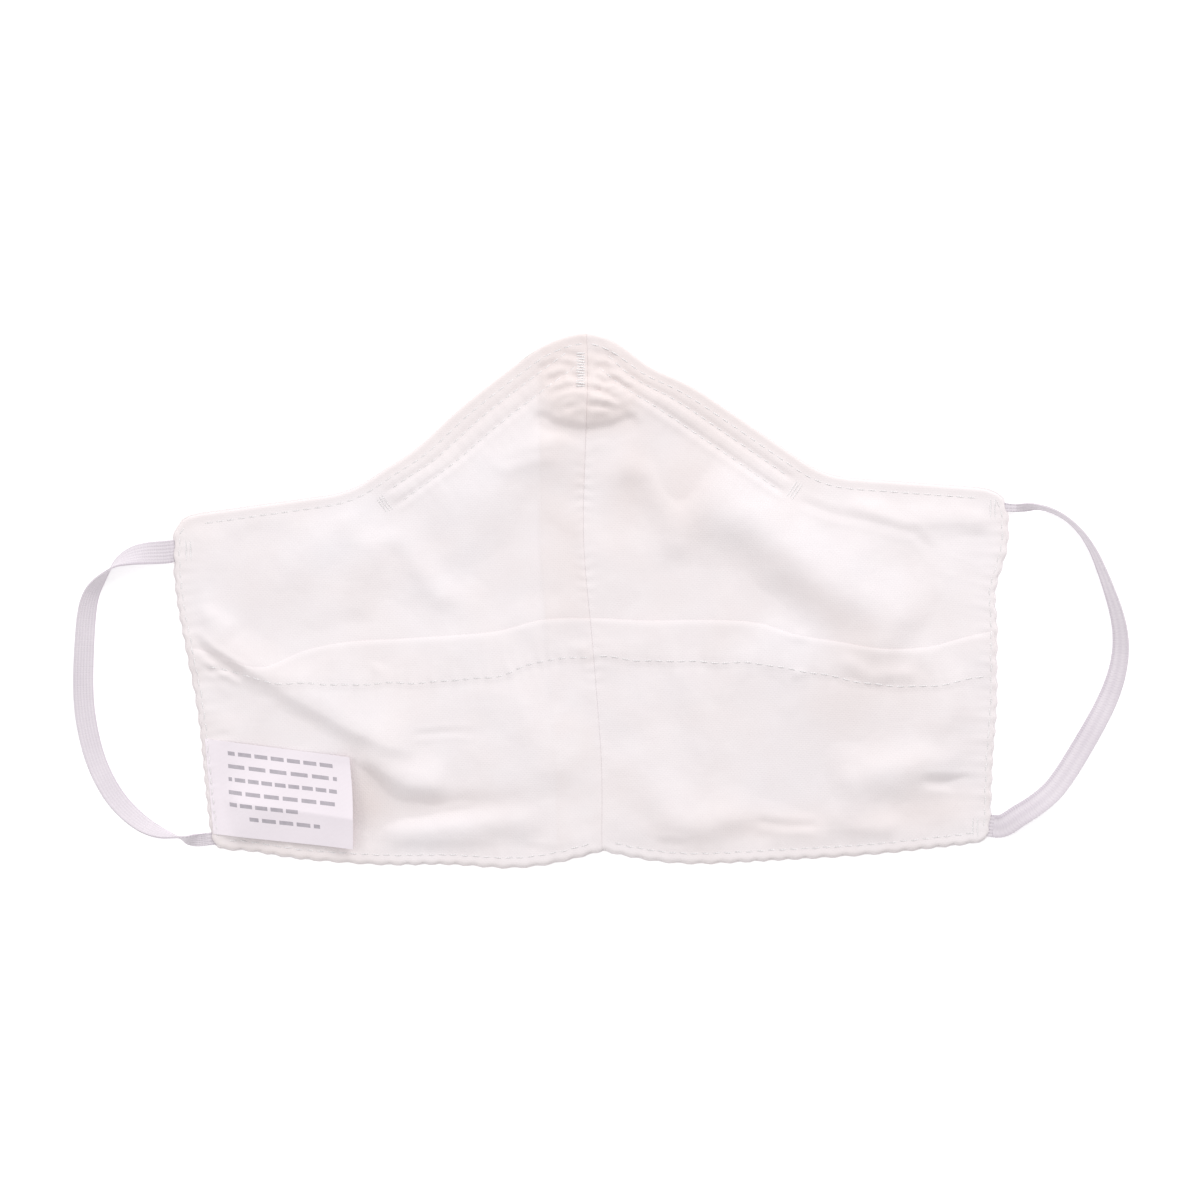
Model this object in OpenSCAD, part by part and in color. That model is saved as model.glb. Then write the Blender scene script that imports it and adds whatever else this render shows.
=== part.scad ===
// Sewn cotton face mask with ear loops, laid open on its outer face with the inside up.
// X runs across the face, Y from chin to nose and Z up, away from the surface it lies on.
// The origin is on that surface, at the foot of the centre seam's fold line.

/* [Mask body] */
// Half width at the top corners
half_w = 109.5; // [95:0.5:132]
// Half width at the bottom corners
bottom_half_w = 102; // [90:0.5:123]
// Half width where the side edge curves in most
waist_half_w = 104.6; // [90:0.1:126]
// Half width of the sloping nose edge
nose_half_w = 62; // [50:0.5:75]
// Height of the nose peak
peak_y = 70.5; // [58:0.5:85]
// Height of the top corners
corner_y = 25.5; // [21:0.5:31]
// Drop of the bottom edge beside the centre seam
bottom_y = 69.8; // [58:0.1:84]
// Height of the bottom corners above that
bottom_rise = 3.5; // [1:0.5:6]
// Height of the notch at the foot of the centre seam
notch_h = 4.5; // [2:0.5:8]
// Gap between the two halves along the fold
fold_gap = 0.3; // [0.2:0.1:0.6]

/* [Cloth layers] */
// Thickness of the outer cotton shell
shell_t = 0.5; // [0.3:0.1:0.8]
// Thickness of the space inside, which the interlining, wire and elastic ends share
core_t = 0.9; // [0.7:0.1:1.4]
// Thickness of the cotton lining
lining_t = 0.5; // [0.3:0.1:0.8]
// Width of the centre seam's pressed allowance
allowance_w = 12; // [8:0.5:15]
// How far the interlining stops short of the edges
core_inset = 4; // [3:0.5:8]
// Room left around each piece inside
core_clear = 0.3; // [0.2:0.1:0.5]

/* [Filter pocket] */
// Height of the pocket mouth at the centre seam
mouth_y = -4.5; // [-10:0.5:4]
// How much lower the mouth is at the top corners' half width
mouth_drop = 7; // [0:0.5:12]
// How far the lower lining laps over the upper one
pocket_lap = 20; // [12:1:26]
// Depth of the folded hem at the mouth
hem_d = 10; // [6:0.5:13]

/* [Nose wire] */
// Width of the wire strip
wire_w = 3; // [2:0.5:5]
// Thickness of the wire strip
wire_t = 0.5; // [0.3:0.1:0.7]
// Distance of the wire's middle from the sloping edge
wire_inset = 7.5; // [6:0.5:11]
// Distance from the fold to the wire's inner end
wire_start = 4; // [3:0.5:8]
// Length of the wire in each half
wire_len = 60; // [40:1:66]

/* [Ear loops] */
// Width of the flat elastic
elastic_w = 6.35; // [5:0.05:8]
// Thickness of the elastic
elastic_t = 0.9; // [0.7:0.1:1.2]
// Length of each end sewn into the side edge
tail_len = 12; // [8:1:16]
// Distance from the side edge to the line that a loop swings about
swing_gap = 0.8; // [0.6:0.1:1.2]

/* [Label] */
// Width of the label
label_w = 36.5; // [25:0.5:45]
// Height of the label
label_h = 25.5; // [18:0.5:32]
// Thickness of the label
label_t = 0.25; // [0.15:0.05:0.4]
// Angle that the label leans at
label_lean = 8; // [0:1:12]
// Distance of the label's outer top corner below the lower lining's step
label_drop = 1.6; // [0.6:0.1:4]

/* [Stitching] */
// Length of a stitch
stitch_len = 3; // [2:0.1:4]
// Gap between two stitches of a row
stitch_gap = 1; // [0.6:0.1:2]
// Width of the thread
thread_w = 0.4; // [0.3:0.05:0.6]
// How far the thread stands proud of the cloth
thread_h = 0.3; // [0.2:0.05:0.4]
// Distance of the top edge's stitches from the edge
top_stitch_inset = 2.6; // [2:0.1:3.5]
// Distance of the side edge's stitches from the edge
side_stitch_inset = 1.4; // [1:0.1:2.5]
// Distance of the bottom edge's stitches from the edge
bottom_stitch_inset = 2.4; // [1.8:0.1:3.5]
// Clearance between the wire and each casing row
casing_clear = 0.3; // [0.1:0.1:1]
// Length of a tack
tack_len = 5; // [4:0.5:6]

/* [Hidden] */

cotton = [0.95, 0.93, 0.92];
lining_white = [0.97, 0.96, 0.95];
fleece = [0.90, 0.90, 0.88];
elastic_white = [0.91, 0.90, 0.95];
satin = [0.93, 0.92, 0.98];
thread_white = [0.98, 0.97, 0.97];
metal = [0.75, 0.76, 0.78];

// Heights of the layers
core_z = shell_t;
lining_z = core_z + core_t;
lining_top = lining_z + lining_t;
lap_top = lining_top + lining_t;
hem_top = lap_top + lining_t;

// Shape of the outline between its main sizes
shoulder_x = 9;
shoulder_drop = 1;
nose_foot_rise = 5;
cheek_y = 6;
waist_y = -15;
jaw_x = 70;
jaw_rise = 1;
chin_x = 18;

// A half outline's corners from the peak round to the notch, each with how far its rounding reaches
seam_x = fold_gap / 2;
shoulder = [shoulder_x, peak_y - shoulder_drop];
nose_foot = [nose_half_w, corner_y + nose_foot_rise];
top_corner = [half_w, corner_y];
cheek = [half_w, cheek_y];
waist = [waist_half_w, waist_y];
bottom_corner = [bottom_half_w, bottom_rise - bottom_y];
jaw = [jaw_x, jaw_rise - bottom_y];
chin = [chin_x, -bottom_y];
notch = [seam_x, notch_h - bottom_y];
outline_corners = [
    [[seam_x, peak_y], 0], [shoulder, 8], [nose_foot, 7], [top_corner, 7], [cheek, 8],
    [waist, 10], [bottom_corner, 4], [jaw, 12], [chin, 12], [notch, 0]
];
bend_steps = 5;

function unit(v) = v / norm(v);
// The left side of a direction
function left_of(v) = [-v.y, v.x];
// Points of the rounding at corner b, from a's side to c's side
function bend(a, b, c, reach) =
    let (p = b + unit(a - b) * reach, q = b + unit(c - b) * reach)
    [for (i = [0:bend_steps]) let (t = i / bend_steps) p * (1 - t) ^ 2 + b * 2 * t * (1 - t) + q * t ^ 2];
// An open run of corners with each inner one rounded
function rounded(c) = [
    for (i = [0:len(c) - 1])
        if (c[i][1] == 0 || i == 0 || i == len(c) - 1) c[i][0]
        else each bend(c[i - 1][0], c[i][0], c[i + 1][0], c[i][1])
];
// A corner moved inwards so that both edges beside it move by d; the run goes clockwise
function moved(a, b, c, d) =
    let (m = -left_of(unit(b - a)), n = -left_of(unit(c - b)))
    b + (m + n) * d / (1 + m * n);
// The run of corners moved inwards by d
function inset(c, d) = [
    for (i = [0:len(c) - 1])
        let (
            before = i == 0 ? c[0][0] - [1, 0] : c[i - 1][0],
            after = i == len(c) - 1 ? c[i][0] - [1, 0] : c[i + 1][0]
        )
        [i == 0 || i == len(c) - 1 ? ends_inset(c, i, d) : moved(before, c[i][0], after, d), c[i][1]]
];
// An end of the run slides along the seam
function ends_inset(c, i, d) =
    let (
        along = i == 0 ? unit(c[1][0] - c[0][0]) : unit(c[i][0] - c[i - 1][0]),
        m = -left_of(along)
    )
    c[i][0] + [0, d / m.y];

half_outline = rounded(outline_corners);
function half_inset(d) = rounded(inset(outline_corners, d));

// The pocket mouth falls evenly from the seam outwards
function mouth_at(x) = mouth_y - mouth_drop * x / half_w;
function lap_foot_at(x) = mouth_at(x) - pocket_lap;
function hem_foot_at(x) = mouth_at(x) - hem_d;
// The lower lining steps up from the core to the upper lining within this height
step_d = core_clear + lining_t;
// Well beyond the outline on every side
far = 2 * half_w;

// The nose wire's line in the right half
slope_dir = unit(nose_foot - shoulder);
wire_side = -left_of(slope_dir);
wire_head = shoulder + wire_side * wire_inset;
wire_from = wire_head + slope_dir * (wire_start - wire_head.x) / slope_dir.x;
wire_angle = atan2(slope_dir.y, slope_dir.x);
casing_half = wire_w / 2 + casing_clear + thread_w / 2;

// Label's outer top corner, in a right half that is mirrored to the left. The side seam takes in a strip of
// the label.
label_out = 1.2;
label_taken = 2;
label_x = bottom_half_w + label_out;
label_corner = [label_x, lap_foot_at(label_x) - step_d - label_drop];
label_fall = label_w * sin(label_lean);

stitch_pitch = stitch_len + stitch_gap;
// How far short of its run's two ends each edge row stays
top_row_ends = [4, 5];
side_row_ends = [2.5, 5];
bottom_row_ends = [4.5, 2];
casing_row_start = 1;
// The hem's row: up from the hem's fold line, out from the seam and in from the side row
hem_stitch_inset = 1;
hem_row_start = 2;
hem_row_clear = 3;

// Tacks: beyond the wire's end, in from the side row over an elastic, and down from the peak
wire_tacks = 3;
wire_tack_pitch = 1;
elastic_tacks = 2;
elastic_tack_in = 2.2;
elastic_tack_pitch = 1.2;
peak_tacks = 7;
peak_tack_drop = 5.5;
peak_tack_pitch = 1.4;
peak_tack_len = 2.6;

// Ear elastics: [x, y, height of the lower edge, roll of the band], from the top end to the bottom one.
// A roll of 0 or 180 is flat, and 90 stands on edge.
left_route = [
    [-110.6, 16.7, 0.5, 180], [-112.2, 16.55, 0.5, 180], [-114, 16.5, 0.3, 175], [-116.6, 16.4, 0.1, 164],
    [-119.6, 16, 0, 148], [-122.4, 15.1, 0, 130], [-124.9, 13.8, 0, 110], [-127, 11.9, 0, 90],
    [-129.2, 9.5, 0, 72], [-131, 7, 0, 60], [-132.2, 4, 0, 52], [-133, 0, 0, 47],
    [-133.6, -5.5, 0, 45], [-134.1, -11.5, 0, 43], [-134.4, -17.5, 0, 42], [-134.3, -23.5, 0, 41],
    [-133.6, -29.5, 0, 41], [-132.3, -35.5, 0, 42], [-130.4, -41, 0, 43], [-127.6, -46.4, 0, 44],
    [-124, -51, 0, 48], [-119.6, -54.8, 0, 56], [-115.4, -57, 0, 70], [-111.2, -58.2, 0, 92],
    [-109, -58.8, 0.2, 115], [-107.3, -59.1, 0.4, 146], [-105.6, -59.35, 0.5, 178], [-103.4, -59.2, 0.5, 180]
];
right_route = [
    [110.6, 20.9, 0.5, 0], [112.2, 20.75, 0.5, 1], [113.8, 20.8, 0.4, 28], [115.4, 20.9, 0.2, 56],
    [117.5, 20.7, 0, 76], [120.2, 20, 0, 84], [123.4, 18.4, 0, 87], [126.4, 16, 0, 88],
    [129.2, 12.7, 0, 86], [131.6, 8.5, 0, 82], [133.6, 3.5, 0, 77], [135.4, -1.8, 0, 72],
    [136.9, -7, 0, 67], [137.8, -12, 0, 62], [137.9, -17, 0, 57], [137.1, -22, 0, 52],
    [135.6, -26.8, 0, 46], [133.4, -31.7, 0, 41], [130.8, -36.4, 0, 37], [128, -41, 0, 34],
    [125.2, -45.4, 0, 32], [122.2, -49.8, 0, 31], [118.8, -53.9, 0, 30], [114.4, -57.4, 0, 27],
    [109.8, -60.2, 0, 20], [106.8, -62.1, 0.3, 9], [104.8, -62.74, 0.5, 1], [103.2, -62.6, 0.5, 0]
];

// ---- outlines and layers of a right half; the left half is its mirror image

module layer(z, t) translate([0, 0, z]) linear_extrude(t) children();

module half_shape(d = 0)
    polygon(half_inset(d));

// The part of a half below a line that falls like the pocket mouth, down to another such line
module mouth_band(top, foot) {
    fall = mouth_drop * far / half_w;
    polygon([[0, top], [far, top - fall], [far, foot - fall], [0, foot]]);
}

module half_shell()
    layer(0, shell_t) half_shape();

// Everything that the space inside keeps free: the wire's channel and the elastic's two ends
module core_slots(route) {
    wire_strip(core_clear);
    for (end = [0, len(route) - 1]) tail(route, end, core_clear);
}

module half_interlining(from_x, route)
    layer(core_z, core_t)
        difference() {
            intersection() {
                half_shape(core_inset);
                translate([from_x, -far]) square([far, 2 * far]);
            }
            core_slots(route);
        }

module half_upper_lining()
    layer(lining_z, lining_t)
        intersection() {
            half_shape();
            mouth_band(far, mouth_y - pocket_lap);
        }

module half_lower_lining() {
    // Lies on the inside below the upper lining's foot
    layer(lining_z, lining_t)
        intersection() {
            half_shape();
            mouth_band(mouth_y - pocket_lap - core_clear, -far);
        }
    // Steps up over that foot
    layer(lining_top, lining_t)
        intersection() {
            half_shape();
            mouth_band(mouth_y, mouth_y - pocket_lap - step_d);
        }
    // Folded hem at the mouth
    layer(lap_top, lining_t)
        intersection() {
            half_shape(core_clear);
            mouth_band(mouth_y, mouth_y - hem_d);
        }
}

module wire_strip(clear = 0)
    translate(wire_from) rotate(wire_angle)
        translate([-clear, -wire_w / 2 - clear])
            square([wire_len + 2 * clear, wire_w + 2 * clear]);

module half_nose_wire()
    layer(core_z, wire_t) wire_strip();

// One sewn-in end of the elastic, running in from the first or last point of a route. It may pass the side
// edge, but no other edge.
module tail(route, end, clear = 0) {
    side_in = 2;
    start = [abs(route[end].x), route[end].y];
    next = end == 0 ? route[1] : route[end - 1];
    out = unit([abs(next.x), next.y] - start);
    angle = atan2(out.y, out.x);
    intersection() {
        translate(start) rotate(angle)
            translate([-tail_len - clear, -elastic_w / 2 - clear])
                square([tail_len + 2 * clear - swing_gap / 2 - elastic_t / 2, elastic_w + 2 * clear]);
        union() {
            half_shape(core_clear - clear);
            translate([half_w - side_in, -bottom_y / 2]) square([far, bottom_y * 2]);
            translate([bottom_half_w - side_in, 2 * bottom_rise - bottom_y]) square([far, bottom_y / 2]);
        }
    }
}

module half_elastic_ends(route)
    for (end = [0, len(route) - 1]) layer(core_z, elastic_t) tail(route, end);

// ---- stitching

// The point at distance s along a path, and the direction there
function along(path, s, i = 1) =
    let (step = path[i] - path[i - 1], d = norm(step))
    s <= d || i == len(path) - 1
        ? [path[i - 1] + step * s / d, atan2(step.y, step.x)]
        : along(path, s - d, i + 1);
function run_of(path, i = 1) =
    i == len(path) ? 0 : norm(path[i] - path[i - 1]) + run_of(path, i + 1);

// Height of the cloth's upper surface, with the label where the half has it
function cloth_top(p) =
    p.y > mouth_at(p.x) + thread_w ? lining_top
    : p.y > hem_foot_at(p.x) - thread_w ? hem_top
    : p.y > lap_foot_at(p.x) - step_d - thread_w ? lap_top
    : lining_top;
function label_rise(p, labelled) =
    labelled && p.x > label_corner.x - label_w - label_taken - stitch_len
    && p.y < label_corner.y + stitch_len && p.y > label_corner.y - label_h - label_fall - stitch_len
        ? label_t : 0;

// One stitch from p in a direction, resting on the highest cloth under it
module stitch(p, angle, length, labelled = false) {
    q = p + length * [cos(angle), sin(angle)];
    z = max([for (k = [p, q, (p + q) / 2]) cloth_top(k) + label_rise(k, labelled)]);
    translate([p.x, p.y, z]) rotate(angle)
        translate([0, -thread_w / 2]) cube([length, thread_w, thread_h]);
}

// Stitches along a path from one distance to another
module stitch_row(path, from, to, labelled = false)
    for (s = [from:stitch_pitch:to - stitch_len]) {
        at = along(path, s);
        stitch(at[0], at[1], stitch_len, labelled);
    }

// Runs of the half outline, moved in, that the edge rows follow
top_path = rounded([for (i = [0:3]) inset(outline_corners, top_stitch_inset)[i]]);
side_path = rounded([for (i = [3:6]) inset(outline_corners, side_stitch_inset)[i]]);
bottom_path = rounded([for (i = [6:9]) inset(outline_corners, bottom_stitch_inset)[i]]);

module half_top_stitching()
    stitch_row(top_path, top_row_ends[0], run_of(top_path) - top_row_ends[1]);

module half_side_stitching(labelled = false)
    stitch_row(side_path, side_row_ends[0], run_of(side_path) - side_row_ends[1], labelled);

module half_bottom_stitching(labelled = false)
    stitch_row(bottom_path, bottom_row_ends[0], run_of(bottom_path) - bottom_row_ends[1], labelled);

module half_casing_stitching()
    for (row = [-1, 1]) {
        start = wire_from + left_of(slope_dir) * row * casing_half;
        stitch_row([start, start + slope_dir * wire_len], casing_row_start, wire_len);
    }

module half_pocket_stitching() {
    foot = hem_d - hem_stitch_inset;
    from = hem_row_start;
    to = waist_half_w - side_stitch_inset - hem_row_clear;
    stitch_row([[from, mouth_at(from) - foot], [to, mouth_at(to) - foot]], 0, to - from);
}

// Tacks across the wire's outer end and over each end of the elastic
module half_tacks(route, labelled = false) {
    for (k = [1:wire_tacks]) {
        middle = wire_from + slope_dir * (wire_len + k * wire_tack_pitch);
        stitch(middle + wire_side * tack_len / 2, wire_angle + 90, tack_len);
    }
    for (end = [0, len(route) - 1], k = [0:elastic_tacks - 1]) {
        edge_x = abs(route[end].x) - swing_gap - side_stitch_inset;
        tack_x = edge_x - elastic_tack_in - k * elastic_tack_pitch;
        stitch([tack_x, route[end].y - tack_len / 2], 90, tack_len, labelled);
    }
}

// ---- ear elastics

// Eight corners of the band's section, across and through it, going round
band_c = elastic_t / 4;
band_section = [
    for (q = [[1, 1], [-1, 1], [-1, -1], [1, -1]], k = [0, 1])
        let (first = (q.x * q.y > 0) == (k == 0))
        first ? [q.x * elastic_w / 2, q.y * (elastic_t / 2 - band_c)]
              : [q.x * (elastic_w / 2 - band_c), q.y * elastic_t / 2]
];

// The middle of the band over a route's point
function band_mid(p) = [
    p.x, p.y,
    p[2] + elastic_w / 2 * abs(sin(p[3])) + elastic_t / 2 * abs(cos(p[3]))
];

// A flat band swept along a route; hand is 1 where the outside of the loop is to the right of its run
module band(route, hand) {
    last = len(route) - 1;
    mids = [for (p = route) band_mid(p)];
    points = [
        for (i = [0:last])
            let (
                run = unit(mids[min(i + 1, last)] - mids[max(i - 1, 0)]),
                out = hand * unit(cross(run, [0, 0, 1])),
                up = hand * cross(out, run),
                across = out * cos(route[i][3]) + up * sin(route[i][3]),
                through = up * cos(route[i][3]) - out * sin(route[i][3])
            )
            for (c = band_section) mids[i] + across * c.x + through * c.y
    ];
    sides = len(band_section);
    walls = [
        for (i = [0:last - 1], k = [0:sides - 1])
            let (
                a = i * sides + k,
                b = i * sides + (k + 1) % sides
            )
            each hand > 0 ? [[a, b, a + sides], [b, b + sides, a + sides]]
                          : [[b, a, a + sides], [b, a + sides, b + sides]]
    ];
    caps = [
        for (k = [1:sides - 2])
            let (near = [0, k, k + 1], past = [0, k + 1, k] + [1, 1, 1] * last * sides)
            each hand > 0 ? [[near[0], near[2], near[1]], [past[0], past[2], past[1]]]
                          : [near, past]
    ];
    polyhedron(points, concat(walls, caps));
}

// ---- sub-parts of the left half

module left_shell() color(cotton) mirror([1, 0, 0]) half_shell();
module left_interlining()
    color(fleece) mirror([1, 0, 0]) half_interlining(allowance_w + core_clear, left_route);
module left_upper_lining() color(lining_white) mirror([1, 0, 0]) half_upper_lining();
module left_lower_lining() color(lining_white) mirror([1, 0, 0]) half_lower_lining();
module left_nose_wire() color(metal) mirror([1, 0, 0]) half_nose_wire();
module left_elastic_ends() color(elastic_white) mirror([1, 0, 0]) half_elastic_ends(left_route);
module left_top_stitching() color(thread_white) mirror([1, 0, 0]) half_top_stitching();
module left_side_stitching() color(thread_white) mirror([1, 0, 0]) half_side_stitching(true);
module left_bottom_stitching() color(thread_white) mirror([1, 0, 0]) half_bottom_stitching(true);
module left_casing_stitching() color(thread_white) mirror([1, 0, 0]) half_casing_stitching();
module left_pocket_stitching() color(thread_white) mirror([1, 0, 0]) half_pocket_stitching();
module left_tacks() color(thread_white) mirror([1, 0, 0]) half_tacks(left_route, true);

// Both allowances of the centre seam, pressed to the left inside the mask, beside the seam's thread
module seam_allowance() {
    from = seam_x + thread_w + core_clear;
    color(cotton) mirror([1, 0, 0])
        layer(core_z, core_t)
            difference() {
                intersection() {
                    half_shape(core_inset);
                    translate([from, -far]) square([allowance_w - from, 2 * far]);
                }
                wire_strip(core_clear);
            }
}

// The seam's own stitches, hidden between the fold and the allowance
module centre_seam_thread()
    color(thread_white)
        for (y = [core_inset + notch_h - bottom_y:stitch_pitch:peak_y - core_inset - stitch_len])
            translate([-seam_x - thread_w, y, core_z]) cube([thread_w, stitch_len, core_t]);

// A bar of close stitches down from the peak beside the fold
module peak_bar_tack()
    color(thread_white)
        for (k = [0:peak_tacks - 1])
            stitch([-seam_x - thread_w, peak_y - peak_tack_drop - k * peak_tack_pitch], 180, peak_tack_len);

module side_label()
    color(satin) mirror([1, 0, 0])
        layer(lining_top, label_t)
            intersection() {
                translate(label_corner) rotate(label_lean)
                    translate([-label_w - label_taken, -label_h]) square([label_w + label_taken, label_h]);
                half_shape(core_clear);
            }

// ---- sub-parts of the right half

module right_shell() color(cotton) half_shell();
module right_interlining() color(fleece) half_interlining(core_clear, right_route);
module right_upper_lining() color(lining_white) half_upper_lining();
module right_lower_lining() color(lining_white) half_lower_lining();
module right_nose_wire() color(metal) half_nose_wire();
module right_elastic_ends() color(elastic_white) half_elastic_ends(right_route);
module right_top_stitching() color(thread_white) half_top_stitching();
module right_side_stitching() color(thread_white) half_side_stitching();
module right_bottom_stitching() color(thread_white) half_bottom_stitching();
module right_casing_stitching() color(thread_white) half_casing_stitching();
module right_pocket_stitching() color(thread_white) half_pocket_stitching();
module right_tacks() color(thread_white) half_tacks(right_route);

// ---- ear loops

module left_ear_loop() color(elastic_white) band(left_route, 1);
module right_ear_loop() color(elastic_white) band(right_route, -1);

left_shell();
left_interlining();
left_upper_lining();
left_lower_lining();
left_nose_wire();
left_elastic_ends();
left_top_stitching();
left_side_stitching();
left_bottom_stitching();
left_casing_stitching();
left_pocket_stitching();
left_tacks();
seam_allowance();
centre_seam_thread();
peak_bar_tack();
side_label();
right_shell();
right_interlining();
right_upper_lining();
right_lower_lining();
right_nose_wire();
right_elastic_ends();
right_top_stitching();
right_side_stitching();
right_bottom_stitching();
right_casing_stitching();
right_pocket_stitching();
right_tacks();
left_ear_loop();
right_ear_loop();
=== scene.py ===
import math

import bpy
import numpy as np
from mathutils import Matrix, Vector, noise


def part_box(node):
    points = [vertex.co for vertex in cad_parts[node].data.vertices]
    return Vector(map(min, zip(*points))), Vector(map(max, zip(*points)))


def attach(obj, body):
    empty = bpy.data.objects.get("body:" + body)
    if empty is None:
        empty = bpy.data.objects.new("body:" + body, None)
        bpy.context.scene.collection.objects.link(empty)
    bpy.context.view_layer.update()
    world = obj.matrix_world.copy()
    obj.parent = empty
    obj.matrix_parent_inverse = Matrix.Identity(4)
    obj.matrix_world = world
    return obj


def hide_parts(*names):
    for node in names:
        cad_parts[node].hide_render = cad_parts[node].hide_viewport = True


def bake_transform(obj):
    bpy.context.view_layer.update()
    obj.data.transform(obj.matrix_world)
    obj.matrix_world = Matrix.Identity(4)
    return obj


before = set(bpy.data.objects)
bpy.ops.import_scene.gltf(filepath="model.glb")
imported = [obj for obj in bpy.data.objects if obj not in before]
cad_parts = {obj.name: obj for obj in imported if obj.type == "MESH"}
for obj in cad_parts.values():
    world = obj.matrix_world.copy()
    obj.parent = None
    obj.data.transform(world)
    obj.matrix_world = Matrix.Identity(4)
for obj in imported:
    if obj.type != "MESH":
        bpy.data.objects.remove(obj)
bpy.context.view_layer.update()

# A sewn cotton face mask, laid open on its outer face with the inside up.
# Lengths are worked out in millimetres and written to the meshes in metres.
MM = 0.001

# Layers, from the surface that the mask lies on
SHELL_T = 0.5
LINING_T = 0.26
CORE_LOW = 0.55
INTERLINING_T = 0.4
BODY_T = 1.9
HEM_T = 0.62
LAP_T = 0.32
EDGE_DROP = 0.6
EDGE_ROUND = 1.0

# Pocket mouth, and the stitched foot of its hem, as they lie from the left side to the right
MOUTH_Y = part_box("right_lower_lining")[1].y / MM
MOUTH_LINE = [
    (-112, -8.5), (-104, -9), (-96, -12), (-87, -14.5), (-76, -10.5), (-64, -8.6), (-48, -8.2), (-26, -7.2),
    (-13, MOUTH_Y), (0, MOUTH_Y), (14, -5.6), (30, -6), (43, -7.2), (53, -10.6), (64, -12.8), (75, -15),
    (87, -15), (98, -12.6), (112, -10),
]
HEM_LINE = [
    (-112, -14.5), (-104, -13.6), (-96, -15), (-87, -18), (-76, -19.2), (-60, -19.8), (-38, -19.6),
    (-25, -18.6), (-13, -15.2), (0, -14.6), (16, -16.2), (40, -17.6), (53, -19.8), (66, -22.8),
    (81, -25.2), (93, -24.4), (112, -21.5),
]
HEM_WOBBLE = 0.35
HEM_ROW_FROM = 1.5
HEM_ROW_TO = 102.0

# Below the mouth: where the doubled lining's thickness has half faded, over what length it fades,
# and how far the upper lining runs on, hidden under the lower one
LAP_D = 20.0
LAP_FADE = 18.0
HIDDEN_LAP = 13.0

# The mouth's rolled edge, and how far it draws the cloth beside it up
MOUTH_ROLL = 0.3
MOUTH_ROLL_W = 1.6
MOUTH_DRAW = 0.22

# Rows of stitches, as distances from the edges
TOP_ROW = 2.6
SIDE_ROW = 1.4
BOTTOM_ROW = 2.4
STITCH_PITCH = 2.9
STITCH_LEN = 2.15
CASING_PITCH = 2.5
CASING_STITCH = 1.9
THREAD_R = 0.14
BAR_THREAD_R = 0.2
SEAM_THREAD_R = 0.15

# Elastic band
BAND_W = 6.1
BAND_T = 0.65
TAIL_LEN = 12.0


# ---------------------------------------------------------------- small tools

def deselect():
    """Clears the selection, so that an operator acts only on the piece in hand."""
    bpy.ops.object.select_all(action="DESELECT")


def make_active(obj):
    deselect()
    obj.select_set(True)
    bpy.context.view_layer.objects.active = obj


def points_of(obj):
    """A mesh's points, in millimetres."""
    co = np.zeros(len(obj.data.vertices) * 3)
    obj.data.vertices.foreach_get("co", co)
    return co.reshape(-1, 3) / MM


def set_points(obj, points):
    obj.data.vertices.foreach_set("co", (np.asarray(points) * MM).ravel())
    obj.data.update()


def set_uv(obj, uv, name="flat"):
    """Writes one pair of flat cloth coordinates, in metres, for each point."""
    layer = obj.data.uv_layers.active or obj.data.uv_layers.new(name=name)
    layer.name = name
    corner = np.zeros(len(obj.data.loops), int)
    obj.data.loops.foreach_get("vertex_index", corner)
    layer.data.foreach_set("uv", (np.asarray(uv)[corner] * MM).ravel())


def set_mask(obj, name, values):
    """Writes a value from 0 to 1 for each point, which a material reads."""
    layer = obj.data.attributes.new(name, "FLOAT", "POINT")
    layer.data.foreach_set("value", np.clip(values, 0, 1).astype(np.float32))


def apply_modifier(obj, modifier):
    make_active(obj)
    bpy.ops.object.modifier_apply(modifier=modifier.name)


def thicken(obj, thickness):
    """Gives a sheet its thickness below the surface it was modelled on."""
    wall = obj.modifiers.new("thickness", "SOLIDIFY")
    wall.thickness = thickness * MM
    wall.offset = -1
    apply_modifier(obj, wall)


def smooth_faces(obj, angle=50):
    make_active(obj)
    bpy.ops.object.shade_smooth_by_angle(angle=math.radians(angle))


def new_grid(name, columns, rows):
    """A grid primitive with the column and row number of each of its points."""
    deselect()
    bpy.ops.mesh.primitive_grid_add(x_subdivisions=columns, y_subdivisions=rows, size=1, calc_uvs=True)
    obj = bpy.context.active_object
    obj.name = name
    obj.data.name = name
    co = points_of(obj) * MM
    column = np.rint((co[:, 0] + 0.5) * columns).astype(int)
    row = np.rint((co[:, 1] + 0.5) * rows).astype(int)
    return obj, column, row


def face_up(obj):
    """Turns a sheet's faces so that most of them look up."""
    if sum(f.normal.z * f.area for f in obj.data.polygons) < 0:
        make_active(obj)
        bpy.ops.object.mode_set(mode="EDIT")
        bpy.ops.mesh.select_all(action="SELECT")
        bpy.ops.mesh.flip_normals()
        bpy.ops.object.mode_set(mode="OBJECT")


def ease(t):
    t = np.clip(t, 0, 1)
    return t * t * (3 - 2 * t)


def mix(a, b, t):
    return a + (b - a) * t


# ---------------------------------------------------------------- lines on the cloth

def unit(v):
    return v / np.maximum(np.linalg.norm(v, axis=-1, keepdims=True), 1e-9)


def run_lengths(line):
    return np.concatenate([[0], np.cumsum(np.linalg.norm(np.diff(line, axis=0), axis=1))])


def at_lengths(line, lengths):
    """The points at given lengths along a run of points."""
    run = run_lengths(line)
    return np.stack([np.interp(lengths, run, line[:, k]) for k in range(line.shape[1])], axis=1)


def resampled(line, count):
    return at_lengths(line, np.linspace(0, run_lengths(line)[-1], count))


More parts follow.
